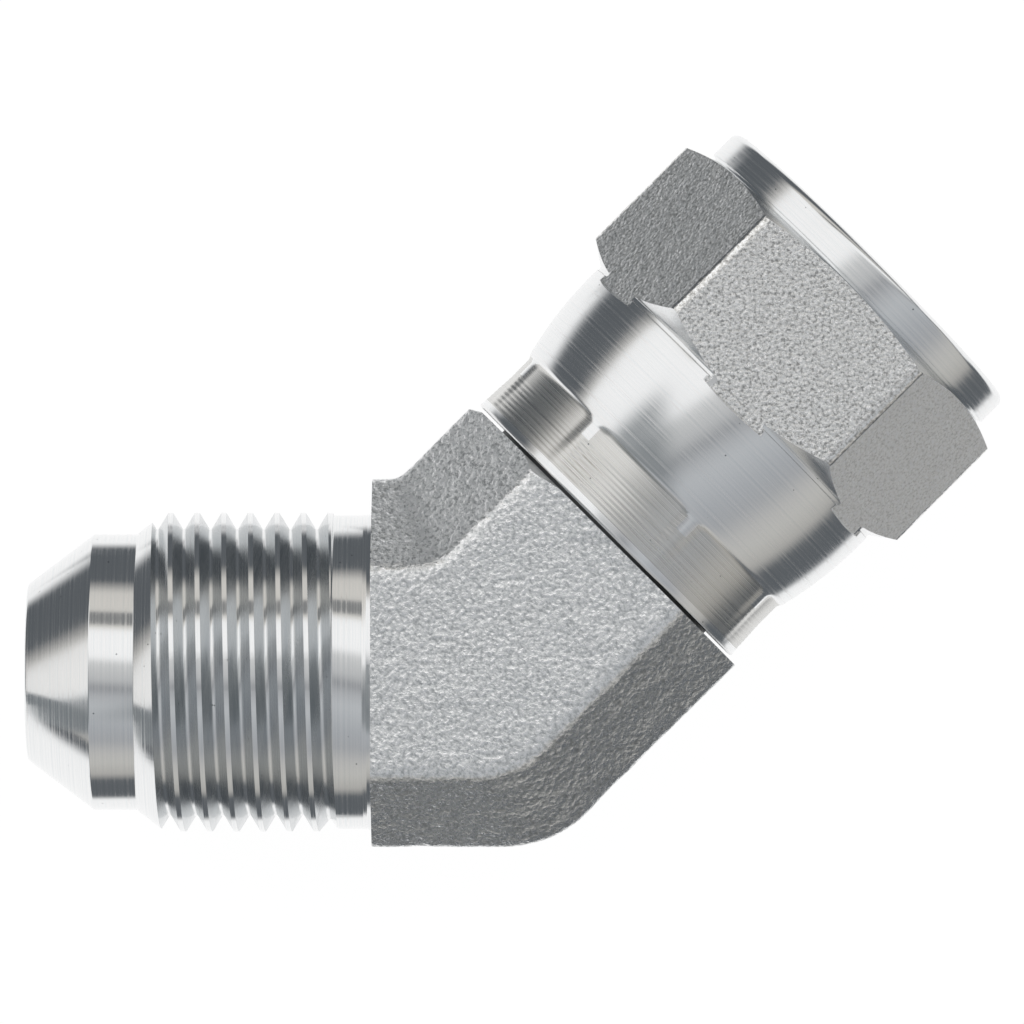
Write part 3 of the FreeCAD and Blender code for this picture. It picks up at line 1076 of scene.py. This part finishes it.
    def drills(self) -> list[bpy.types.Object]:
        """Makes the shapes of both bores, with the flare seat and the lightly broken nose edge.

        Returns:
            The solids to remove.
        """
        over = 1.0
        slope = math.tan(math.radians(SEAT_ANGLE_DEG))
        tip = self.branch_face + self.tail_length
        seat_start = tip - (self.seat_radius - BORE_RADIUS) / slope
        ball = []
        for degrees in range(self.ball_step_deg, 90, self.ball_step_deg):
            angle = math.radians(degrees)
            ball.append((-BORE_RADIUS * math.cos(angle), BORE_RADIUS * math.sin(angle)))
        ball.append((0.0, BORE_RADIUS))
        run = (
            (self.run_length - self.nose_break, BORE_RADIUS),
            (self.run_length + over, BORE_RADIUS + self.nose_break + over),
        )
        branch = (
            (seat_start, BORE_RADIUS),
            (tip, self.seat_radius),
            (tip + over, self.seat_radius + over),
        )
        return [
            plug("run_drill", Arm.RUN, (*ball, *run), self.drill_steps),
            plug("branch_drill", Arm.BRANCH, (*ball, *branch), self.drill_steps),
        ]

    def paint(self, piece: bpy.types.Object) -> None:
        """Gives each face of the body its finish, by where it lies.

        Args:
            piece: The body, still in millimetres.
        """
        run = face_table(piece, Arm.RUN)
        branch = face_table(piece, Arm.BRANCH)
        near = self.near
        index = np.full(len(run["along"]), BodySkin.FORGED, dtype=np.int32)
        in_run_bore = (run["radius"] < BORE_RADIUS + near) & (run["along"] > -BORE_RADIUS)
        in_branch_bore = (branch["radius"] < BORE_RADIUS + near) & (branch["along"] > -BORE_RADIUS)
        heelward = branch["sideways"] - run["sideways"]
        # throat and heel bevels take copies of the blasted skin, painted lighter and darker as painted
        # light and painted shade
        index[heelward < -self.steep_side] = BodySkin.THROAT
        index[heelward > self.steep_side] = BodySkin.HEEL
        index[(run["along"] > self.run_face - near) | in_run_bore] = BodySkin.RUN
        cone_radius = (self.branch_face - branch["along"]) / math.tan(math.radians(self.face_chamfer_deg))
        on_cone = np.abs(branch["radius"] - self.branch_face_radius - cone_radius) < 2 * near
        index[(branch["along"] > self.branch_face - near) | in_branch_bore] = BodySkin.BRANCH
        beyond = branch["radius"] > self.branch_face_radius - near
        on_throat = (branch["turn"] < 0) & (branch["along"] > 0)
        index[on_cone & beyond & on_throat] = BodySkin.FACE_CHAMFER
        past_face = branch["along"] > self.branch_face + near
        # the tail takes a darker copy of the turned skin, as painted shade in the gap behind the nut
        index[past_face & (branch["radius"] > BORE_RADIUS + near)] = BodySkin.TAIL
        in_groove = (run["radius"] > self.minor_radius + near) & (run["radius"] < MAJOR_RADIUS - near)
        on_thread = in_groove & (run["along"] > self.run_face + self.neck_length)
        # the thread's flanks take a darker copy of the turned skin, as painted shade in the grooves
        index[on_thread & (np.abs(run["facing"]) > self.flank_facing)] = BodySkin.THREAD_FLANK
        dress(piece, BODY_FINISHES, index)

    def build(self) -> bpy.types.Object:
        """Builds the whole body.

        Returns:
            The finished piece.
        """
        piece = self.blank()
        self.face(piece)
        combine(piece, Cut.ADD, self.male_end())
        combine(piece, Cut.ADD, self.tail())
        for tool in self.drills():
            combine(piece, Cut.REMOVE, tool)
        self.paint(piece)
        finish_piece(piece, self.sharp_deg)
        return piece


@dataclass
class CrimpedNut:
    """The swivel nut: turned all over but for its six flats, with its collar crimped by eight jaws.

    Attributes give the sizes in millimetres. Names with jaw shape the jaws' prints, and names with
    ring the fine rings in them. The flats are uneven by a ragged and a coarse layer of noise. A
    face's finish is told by its place, to within near or flat_level, and by its slope: flat_facing
    and flat_lean are the most that a flat's face leans along and across the arm.
    """

    back: float = 11.95
    collar_radius: float = 10.6
    collar_length: float = 4.2
    bore_radius: float = 8.6
    cavity_radius: float = 9.65
    shell_radius: float = 11.35
    shell_length: float = 6.5
    shell_bulge: float = 0.232
    groove_depth: float = 0.05
    groove_length: float = 0.25
    half_flats: float = 11.1125
    tongue: float = 0.4
    edge_radius: float = 0.5
    relief_radius: float = 11.03
    relief_length: float = 0.2
    back_chamfer_deg: float = 35.0
    front_chamfer_deg: float = 21.0
    length: float = 22.4
    lip_radius: float = 11.298
    lip_length: float = 1.92
    lip_chamfer: float = 0.3
    minor_radius: float = 8.75
    mouth_radius: float = 9.8
    thread_length: float = 8.65
    tap_clearance: float = 0.2
    tap_root_width: float = 0.28
    tap_run_out: float = 0.5
    crimp_end: float = 14.2
    jaws: int = 8
    jaw_width_deg: float = 39.5
    jaw_phase_deg: float = -5.25
    jaw_depth: float = 0.15
    jaw_rear_share: float = 0.35
    jaw_side_blend: float = 1.0
    jaw_front_blend: float = 0.4
    jaw_margin: float = 0.5
    jaw_corner: float = 0.8
    ring_spacing: float = 0.29
    ring_band: float = 2.5
    ring_depth: float = 0.022
    ragged_width: float = 0.7
    ragged_height: float = 0.02
    coarse_width: float = 2.4
    coarse_height: float = 0.03
    edge_share: float = 0.5
    flat_lean: float = 0.004
    flat_level: float = 0.07
    flat_facing: float = 0.3
    flat_end_length: float = 0.2
    flat_end_height: float = 0.3
    flat_rows: int = 36
    wall: float = 1.0
    bar_spare: float = 0.8
    near: float = 0.02
    collar_step: float = 0.06
    shell_step: float = 0.3
    shell_margin: float = 0.5
    sharp_deg: float = 32.0
    steps: int = 384
    flat_steps: int = 540

    @property
    def collar_end(self) -> float:
        """Where the collar meets the shell, from the crossing."""
        return self.back + self.collar_length

    @property
    def shell_end(self) -> float:
        """Where the shell ends, from the crossing."""
        return self.collar_end + self.shell_length

    @property
    def jaw_start(self) -> float:
        """Where the jaws' prints start, from the crossing."""
        return self.back + self.jaw_margin

    @property
    def front(self) -> float:
        """The front of the lip, from the crossing."""
        return self.back + self.length

    @property
    def lip_start(self) -> float:
        """Where the lip leaves the front chamfer, from the crossing."""
        return self.front - self.lip_length

    @property
    def thread_front(self) -> float:
        """Where the thread starts, behind the mouth's cone, from the crossing."""
        return self.front - (self.mouth_radius - self.minor_radius)

    def crimped(self, along: np.ndarray, radius: np.ndarray, turn: np.ndarray) -> np.ndarray:
        """Presses the jaw marks and the jaws' fine rings into the collar.

        Args:
            along: Distances from the crossing.
            radius: The turned radii.
            turn: Angles round the nut, in radians.

        Returns:
            The radii after crimping.
        """
        pitch = 2 * math.pi / self.jaws
        phase = math.radians(self.jaw_phase_deg)
        offset = (turn - phase + pitch / 2) % pitch - pitch / 2
        half_width = math.radians(self.jaw_width_deg / 2) * self.collar_radius
        start = self.jaw_start
        sideways = (np.abs(offset) * self.collar_radius - half_width) / self.jaw_side_blend
        forwards = (along - self.collar_end) / self.jaw_front_blend
        backwards = (start - along) / self.jaw_front_blend
        corner = self.jaw_corner
        rounded = np.hypot(np.maximum(sideways + corner, 0.0), np.maximum(forwards + corner, 0.0)) - corner
        outside = np.maximum(np.maximum(np.maximum(sideways, forwards), rounded), backwards)
        pressed = 1.0 - smooth_step(outside + 0.5)
        in_front = 1.0 - self.jaw_rear_share
        fade = self.jaw_rear_share + in_front * smooth_step((along - start) / self.ring_band)
        ringed = smooth_step((start + self.ring_band - along) / self.ring_spacing)
        rings = 0.5 + 0.5 * np.cos(2 * math.pi * (along - start) / self.ring_spacing)
        depth = self.jaw_depth * fade * pressed + self.ring_depth * rings * ringed
        on_collar = (radius > self.collar_radius - self.near) & (along < self.collar_end + self.shell_step)
        return np.where(on_collar, radius - depth, radius)

    def blank(self) -> bpy.types.Object:
        """Turns the nut's outside and inside.

        Returns:
            The nut before its flats and its thread.
        """
        groove = self.shell_radius - self.groove_depth
        groove_end = self.shell_end + self.groove_length
        corner = self.half_flats / math.cos(HEXAGON_SECTOR / 2) + self.bar_spare
        back_corner = groove_end + (corner - groove) * math.tan(math.radians(self.back_chamfer_deg))
        relief_start = self.lip_start - self.relief_length
        front_slope = math.tan(math.radians(self.front_chamfer_deg))
        front_corner = relief_start - (corner - self.relief_radius) * front_slope
        thread_back = self.thread_front - self.thread_length
        cavity_end = thread_back - (self.cavity_radius - self.minor_radius)
        cavity_start = self.crimp_end + (self.cavity_radius - self.bore_radius)
        hollow = (
            Corner(self.lip_start, self.lip_radius),
            Corner(self.front - self.lip_chamfer, self.lip_radius, 0.45),
            Corner(self.front, self.lip_radius - self.lip_chamfer, 0.45),
            Corner(self.front, self.mouth_radius, 0.1),
            Corner(self.thread_front, self.minor_radius),
            Corner(thread_back, self.minor_radius),
            Corner(cavity_end, self.cavity_radius, 0.3),
            Corner(cavity_start, self.cavity_radius, 0.3),
            Corner(self.crimp_end, self.bore_radius, 0.3),
            Corner(self.back, self.bore_radius, 0.15),
            Corner(self.back, self.collar_radius, 0.18),
            Corner(self.jaw_start, self.collar_radius),
        )
        inside = profile_points(hollow, closed=False)
        last_row = self.shell_end - self.shell_margin
        clear = 0.05
        beyond = 0.45
        collar = np.arange(self.jaw_start + clear, self.collar_end + beyond, self.collar_step)
        shell = np.arange(collar[-1] + self.shell_step / 2, last_row - clear, self.shell_step)
        curve = self.shell_curve(np.concatenate((collar, shell)))
        ends = profile_points(
            (
                Corner(*self.shell_curve(np.array([last_row]))[0]),
                Corner(self.shell_end, self.shell_radius, 0.05),
                Corner(self.shell_end, groove, 0.05),
                Corner(groove_end, groove, 0.1),
                Corner(back_corner, corner),
                Corner(front_corner, corner),
                Corner(relief_start, self.relief_radius, 0.06),
                Corner(self.lip_start, self.relief_radius, 0.04),
                Corner(self.lip_start, self.lip_radius, 0.06),
            ),
            closed=False,
        )
        rows = np.concatenate((inside[1:-1], curve, ends))
        return lathe("crimped_nut", Arm.BRANCH, rows, self.steps, self.crimped)

    def shell_curve(self, along: np.ndarray) -> np.ndarray:
        """Follows the collar's cylinder and the shell's arc.

        Args:
            along: Distances from the crossing.

        Returns:
            Rows of distance along and radius.
        """
        chord = self.shell_length
        rise = self.shell_radius - self.collar_radius
        share = np.clip((along - self.collar_end) / chord, 0.0, 1.0)
        bulge = 4 * self.shell_bulge * share * (1 - share)
        radius = self.collar_radius + rise * share + bulge
        return np.stack((along, radius), axis=1)

    def hexagon(self, along: np.ndarray, radius: np.ndarray, turn: np.ndarray) -> np.ndarray:
        """Bends the inner wall of the hexagon's tool from a circle to six rough flats.

        Args:
            along: Distances from the crossing.
            radius: The tool's radii, where the flats' half width stands for the flats themselves.
            turn: Angles round the nut, in radians.

        Returns:
            The radii of the hexagon, with its edges rounded.
        """
        half = self.half_flats
        spots = Arm.BRANCH.points(along, radius, turn).tolist()
        ragged = np.array([noise.noise(Vector(spot) / self.ragged_width + SEED_OFFSET) for spot in spots])
        coarse = np.array([noise.noise(Vector(spot) / self.coarse_width - SEED_OFFSET) for spot in spots])
        edge = self.edge_radius * (1.0 + self.edge_share * ragged)
        sector = HEXAGON_SECTOR
        from_flat = np.abs((turn + sector / 2) % sector - sector / 2)
        centre = (half - edge) / math.cos(sector / 2)
        from_corner = sector / 2 - from_flat
        reach = np.maximum(edge**2 - (centre * np.sin(from_corner)) ** 2, 0.0)
        rounded = centre * np.cos(from_corner) + np.sqrt(reach)
        flat = half / np.cos(from_flat)
        tangent = np.arctan((half - edge) * math.tan(sector / 2) / half)
        polar = np.where(from_flat > tangent, rounded, flat)
        unevenness = self.coarse_height * coarse + self.ragged_height * ragged
        return np.where(radius < half + self.wall, polar + radius - half + unevenness, radius)

    def hexagon_tool(self) -> bpy.types.Object:
        """Makes the solid that leaves the hexagon: a thick ring with a hexagonal hole.

        Returns:
            The solid to remove.
        """
        half = self.half_flats
        outside = 2 * half
        first = self.shell_end - self.tongue
        last = self.lip_start - self.relief_length / 2
        wall = [(along, half) for along in np.linspace(first, last, self.flat_rows)]
        behind = first - self.flat_end_length
        rows = np.array([(behind, outside), (behind, half + self.flat_end_height), *wall, (last, outside)])
        return lathe("hexagon_tool", Arm.BRANCH, rows, self.flat_steps, self.hexagon)

    def thread_tool(self) -> bpy.types.Object:
        """Makes the tap's shape.

        Returns:
            The solid that cuts the nut's thread.
        """
        tool = ThreadTool(
            arm=Arm.BRANCH,
            root=MAJOR_RADIUS,
            mouth=self.minor_radius - self.tap_clearance,
            root_width=self.tap_root_width,
            phase=self.front,
            first=self.thread_front - self.thread_length - PITCH / 2,
            last=self.front + PITCH,
            run_out=self.tap_run_out,
        )
        return tool.build()

    def paint(self, piece: bpy.types.Object) -> None:
        """Gives each face of the nut its finish, by where it lies.

        Args:
            piece: The nut, still in millimetres.
        """
        table = face_table(piece, Arm.BRANCH)
        sector = HEXAGON_SECTOR
        within = (table["turn"] + sector / 2) % sector - sector / 2
        level = table["radius"] * np.cos(within)
        on_hexagon = (table["along"] > self.shell_end - 2 * self.tongue) & (table["along"] < self.lip_start)
        outside = table["radius"] > self.half_flats - self.flat_level
        across = on_hexagon & (np.abs(table["facing"]) < self.flat_facing) & outside
        at_level = np.abs(level - self.half_flats) < self.flat_level
        near_corner = table["radius"] > self.half_flats + self.wall
        upright = np.abs(table["outward"] - np.cos(within)) < self.flat_lean
        past_groove = table["along"] > self.shell_end + self.groove_length
        flat = across & (at_level | near_corner) & (past_groove | upright)
        tangent = math.atan((self.half_flats - self.edge_radius) * math.tan(sector / 2) / self.half_flats)
        edge = flat & (np.abs(within) > tangent)
        jaw = (table["along"] < self.collar_end) & (table["along"] > self.jaw_start)
        in_print = table["radius"] < self.collar_radius - self.jaw_depth * self.jaw_rear_share
        in_band = table["along"] < self.jaw_start + self.ring_band
        pressed = jaw & (table["radius"] > self.collar_radius - 2 * self.jaw_depth) & (in_print | in_band)
        index = np.full(len(level), NutSkin.TURNED, dtype=np.int32)
        # the flats that face different ways take copies of one drawn skin, painted lighter or darker as
        # painted light and painted shade
        kinds = np.array((NutSkin.TOP_FLAT, NutSkin.HEEL_FLAT, NutSkin.THROAT_FLAT))
        face_number = np.round(table["turn"] / sector).astype(int) % len(kinds)
        index[flat] = kinds[face_number[flat]]
        index[pressed] = NutSkin.JAW_PRINT
        index[edge] = NutSkin.HEXAGON_EDGE
        dress(piece, NUT_FINISHES, index)

    def build(self) -> bpy.types.Object:
        """Builds the whole nut.

        Returns:
            The finished piece.
        """
        piece = self.blank()
        combine(piece, Cut.REMOVE, self.hexagon_tool())
        combine(piece, Cut.REMOVE, self.thread_tool())
        self.paint(piece)
        finish_piece(piece, self.sharp_deg)
        return piece


class Measure(Enum):
    """What tells where in the light tent a direction points."""

    TILT = "the angle from straight up, across the strips, in degrees"
    STEEPNESS = "the size of that angle"
    ALONG = "the direction's share along the strips"
    ENDWISE = "the size of that share"
    UPWARD = "the direction's share upwards"
    OFF_THE_ENDS = "how far from the strips' own line it points, squared"


@dataclass(frozen=True)
class Fade:
    """How a card of the tent fades in, by one measure.

    Attributes:
        measure: What it fades by.
        start: Where the card doesn't show yet.
        end: Where it shows in full.
        least: How much of it shows up to the start.
        most: How much of it shows from the end on.
        lean: How many degrees the measure shifts towards the strips' ends.
    """

    measure: Measure
    start: float
    end: float
    least: float = 0.0
    most: float = 1.0
    lean: float = 0.0


@dataclass(frozen=True)
class Card:
    """A card that hangs in the tent, in front of its strips, where all of its fades let it show."""

    colour: str
    fades: tuple[Fade, ...]


@dataclass(frozen=True)
class Studio:
    """The white table, the light tent and the camera.

    The tent's strips run parallel to one another, from lower left to upper right as the camera sees
    them, so their level depends only on the angle from straight up, across the strips. Cards hang
    before them, and windows show the white table to the metal: steeply down on both sides, and
    everywhere below the horizon towards the ends of the tent.

    Attributes:
        table_height_mm: The height of the table's top.
        table_size_mm: The table's width.
        table_colour: The colour of its paint.
        table_glow: The strength at which it shows white.
        table_glow_share: How much of what the camera sees of it is that white.
        camera_mm: Where the camera stands.
        focal_mm: Its focal length.
        sensor_mm: The width of its sensor.
        across_deg: The direction across the strips, seen from above.
        strips: For each edge between the strips its angle from straight up, and the colour there.
        cards: The cards, each in front of those before it.
        windows: The fades of each window.
    """

    table_height_mm: float = -11.42
    table_size_mm: float = 1500.0
    table_colour: str = "#F6F6F6"
    table_glow: float = 1.07
    table_glow_share: float = 0.9
    camera_mm: tuple[float, float, float] = (2.894, 9.568, 550.0)
    focal_mm: float = 323.4
    sensor_mm: float = 36.0
    across_deg: float = 112.5
    strips: tuple[tuple[float, str], ...] = (
        (-180.0, "#616569"),
        (-103.0, "#616569"),
        (-94.5, "#B5B3AF"),
        (-80.0, "#C3C2BE"),
        (-70.0, "#BFBEBC"),
        (-57.0, "#A9ABAE"),
        (-45.0, "#ADB0B4"),
        (-25.0, "#BFC2C5"),
        (-16.0, "#B4B6B9"),
        (-9.0, "#999B9E"),
        (-2.0, "#C1C2C3"),
        (11.0, "#CFD0D0"),
        (17.0, "#FFFFFF"),
        (38.0, "#FFFFFF"),
        (42.0, "#DCD9D3"),
        (72.0, "#D2CFCA"),
        (84.0, "#5E6266"),
        (180.0, "#5E6266"),
    )
    cards: tuple[Card, ...] = (
        Card("#FFFFFF", (
            Fade(Measure.TILT, 30.0, 38.0),
            Fade(Measure.TILT, 76.0, 69.0),
            Fade(Measure.ALONG, -0.02, -0.12),
            Fade(Measure.ALONG, -0.6, -0.8, least=1.0, most=0.7),
        )),
        Card("#616569", (
            Fade(Measure.TILT, 42.0, 45.0),
            Fade(Measure.TILT, 56.0, 53.0),
            Fade(Measure.ALONG, -0.02, 0.1, most=0.8),
        )),
        Card("#7E8386", (Fade(Measure.OFF_THE_ENDS, 0.038, 0.022),)),
        Card("#7E8386", (
            Fade(Measure.STEEPNESS, 42.0, 26.0),
            Fade(Measure.ALONG, -0.28, -0.45, most=0.85),
        )),
    )
    windows: tuple[tuple[Fade, ...], ...] = (
        (Fade(Measure.TILT, 124.0, 140.0),),
        (Fade(Measure.ENDWISE, 0.24, 0.29), Fade(Measure.TILT, 116.0, 132.0)),
        (Fade(Measure.TILT, -130.0, -140.0, lean=8.0),),
        (Fade(Measure.ENDWISE, 0.8, 0.88), Fade(Measure.UPWARD, -0.1, -0.27)),
    )

    def table(self) -> None:
        """Lays the white table, which keeps a faint shadow of the elbow."""
        half = self.table_size_mm / 2
        around = ((-half, -half), (half, -half), (half, half), (-half, half))
        mesh = bpy.data.meshes.new("table")
        corners = [(x * MM, y * MM, self.table_height_mm * MM) for x, y in around]
        mesh.from_pydata(corners, [], [(0, 1, 2, 3)])
        table = bpy.data.objects.new("table", mesh)
        bpy.context.scene.collection.objects.link(table)
        table.visible_glossy = False
        material = bpy.data.materials.new("table_white")
        material.use_nodes = True
        tree = material.node_tree
        tree.nodes.clear()
        paint = add_node(tree, "ShaderNodeBsdfDiffuse", {"Color": linear(self.table_colour)})
        glow = {"Color": linear("#FFFFFF"), "Strength": self.table_glow}
        white = add_node(tree, "ShaderNodeEmission", glow)
        both = {"Fac": self.table_glow_share, 1: paint.outputs[0], 2: white.outputs[0]}
        mix = add_node(tree, "ShaderNodeMixShader", both)
        add_node(tree, "ShaderNodeOutputMaterial", {"Surface": mix.outputs[0]})
        mesh.materials.append(material)

    def measures(self, tree: bpy.types.NodeTree) -> dict[Measure, bpy.types.NodeSocket]:
        """Measures the direction that the light comes from.

        Args:
            tree: The world's node tree.

        Returns:
            The value of each measure.
        """
        angle = math.radians(self.across_deg)
        # both arms stand half the bend off the strips, so this makes what a turned surface mirrors
        # tilt by twice the surface's own turn
        across_scale = 1.0 / math.cos(math.radians(BEND_DEG / 2))
        direction = add_node(tree, "ShaderNodeTexCoord").outputs["Generated"]
        axes = (
            (math.cos(angle) * across_scale, math.sin(angle) * across_scale, 0.0),
            (math.sin(angle), -math.cos(angle), 0.0),
            (0.0, 0.0, 1.0),
        )
        shares = []
        for axis in axes:
            both = {0: direction, 1: axis}
            product = add_node(tree, "ShaderNodeVectorMath", both, operation="DOT_PRODUCT")
            shares.append(product.outputs["Value"])
        across, along, upward = shares
        radians = add_node(tree, "ShaderNodeMath", {0: across, 1: upward}, operation="ARCTAN2").outputs[0]
        tilt = add_node(tree, "ShaderNodeMath", {0: radians}, operation="DEGREES").outputs[0]
        square = add_node(tree, "ShaderNodeMath", {0: upward, 1: upward}, operation="MULTIPLY").outputs[0]
        squares = {0: across, 1: across, 2: square}
        off_the_ends = add_node(tree, "ShaderNodeMath", squares, operation="MULTIPLY_ADD").outputs[0]
        return {
            Measure.TILT: tilt,
            Measure.STEEPNESS: add_node(tree, "ShaderNodeMath", {0: tilt}, operation="ABSOLUTE").outputs[0],
            Measure.ALONG: along,
            Measure.ENDWISE: add_node(tree, "ShaderNodeMath", {0: along}, operation="ABSOLUTE").outputs[0],
            Measure.UPWARD: upward,
            Measure.OFF_THE_ENDS: off_the_ends,
        }

    def shown(
        self,
        tree: bpy.types.NodeTree,
        measures: dict[Measure, bpy.types.NodeSocket],
        fades: Sequence[Fade],
    ) -> bpy.types.NodeSocket:
        """Works out how much of a card or a window shows.

        Args:
            tree: The world's node tree.
            measures: The value of each measure.
            fades: The fades that all have to let it show.

        Returns:
            The share, from 0 to 1.
        """
        share: bpy.types.NodeSocket | float = 1.0
        for fade in fades:
            leaning = {0: measures[Measure.ALONG], 1: fade.lean, 2: measures[fade.measure]}
            value = add_node(tree, "ShaderNodeMath", leaning, operation="MULTIPLY_ADD").outputs[0]
            span = {"From Min": fade.start, "From Max": fade.end}
            step = {"Value": value, "To Min": fade.least, "To Max": fade.most, **span}
            part = add_node(tree, "ShaderNodeMapRange", step, interpolation_type="SMOOTHSTEP").outputs[0]
            share = add_node(tree, "ShaderNodeMath", {0: share, 1: part}, operation="MULTIPLY").outputs[0]
        return share

    def light(self) -> None:
        """Builds the light tent in the world, with plain white behind what the camera sees."""
        world = bpy.data.worlds.new("light_tent")
        bpy.context.scene.world = world
        world.use_nodes = True
        tree = world.node_tree
        tree.nodes.clear()
        measures = self.measures(tree)
        turn = {"Value": measures[Measure.TILT], "From Min": -180.0, "From Max": 180.0}
        place = add_node(tree, "ShaderNodeMapRange", turn)
        strips = add_node(tree, "ShaderNodeValToRGB", {"Fac": place.outputs[0]})
        ramp(strips, [(0.5 + degrees / 360.0, linear(colour)) for degrees, colour in self.strips])
        tent = strips.outputs["Color"]
        for card in self.cards:
            blend = {0: self.shown(tree, measures, card.fades), 6: tent, 7: linear(card.colour)}
            tent = add_node(tree, "ShaderNodeMix", blend, data_type="RGBA").outputs[2]
        mirrored: bpy.types.NodeSocket | float = 0.0
        for fades in self.windows:
            either = {0: mirrored, 1: self.shown(tree, measures, fades)}
            mirrored = add_node(tree, "ShaderNodeMath", either, operation="MAXIMUM").outputs[0]
        path = add_node(tree, "ShaderNodeLightPath").outputs
        glossy = {0: path["Is Glossy Ray"], 1: mirrored}
        seen = add_node(tree, "ShaderNodeMath", glossy, operation="MULTIPLY").outputs[0]
        for ray in ("Is Camera Ray", "Is Transmission Ray"):
            seen = add_node(tree, "ShaderNodeMath", {0: seen, 1: path[ray]}, operation="MAXIMUM").outputs[0]
        light = add_node(tree, "ShaderNodeBackground", {"Color": tent})
        white = add_node(tree, "ShaderNodeBackground", {"Color": linear("#FFFFFF")})
        mix = add_node(tree, "ShaderNodeMixShader", {"Fac": seen, 1: light.outputs[0], 2: white.outputs[0]})
        add_node(tree, "ShaderNodeOutputWorld", {"Surface": mix.outputs[0]})

    def camera(self) -> None:
        """Sets the camera straight above the elbow, as far off as the photograph's was."""
        data = bpy.data.cameras.new("camera")
        data.lens = self.focal_mm
        data.sensor_width = self.sensor_mm
        data.clip_start = 0.01
        data.clip_end = 20.0
        camera = bpy.data.objects.new("camera", data)
        camera.location = Vector(self.camera_mm) * MM
        bpy.context.scene.collection.objects.link(camera)
        bpy.context.scene.camera = camera

    def build(self) -> None:
        """Sets up the whole studio."""
        self.camera()
        self.table()
        self.light()
        bpy.context.scene.view_settings.view_transform = "Standard"


def report(piece: bpy.types.Object, body: str, node: str) -> None:
    """Ties a finished piece to the frame and logs it.

    Args:
        piece: The piece, in metres.
        body: The moving body that it rides on.
        node: The CAD node that it stands for.
    """
    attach(piece, body)
    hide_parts(node)
    mesh = piece.data
    triangles = sum(len(face.vertices) - 2 for face in mesh.polygons)
    LOG.info("%s on %s: %d triangles", piece.name, body, triangles)


def main() -> None:
    """Loads the frame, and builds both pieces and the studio."""
    logging.basicConfig(level=logging.INFO, format="%(name)s: %(message)s")
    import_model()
    Studio().build()
    report(ForgedElbow().build(), "body", "elbow_body")
    report(CrimpedNut().build(), "nut", "swivel_nut")


if __name__ == "__main__":
    main()
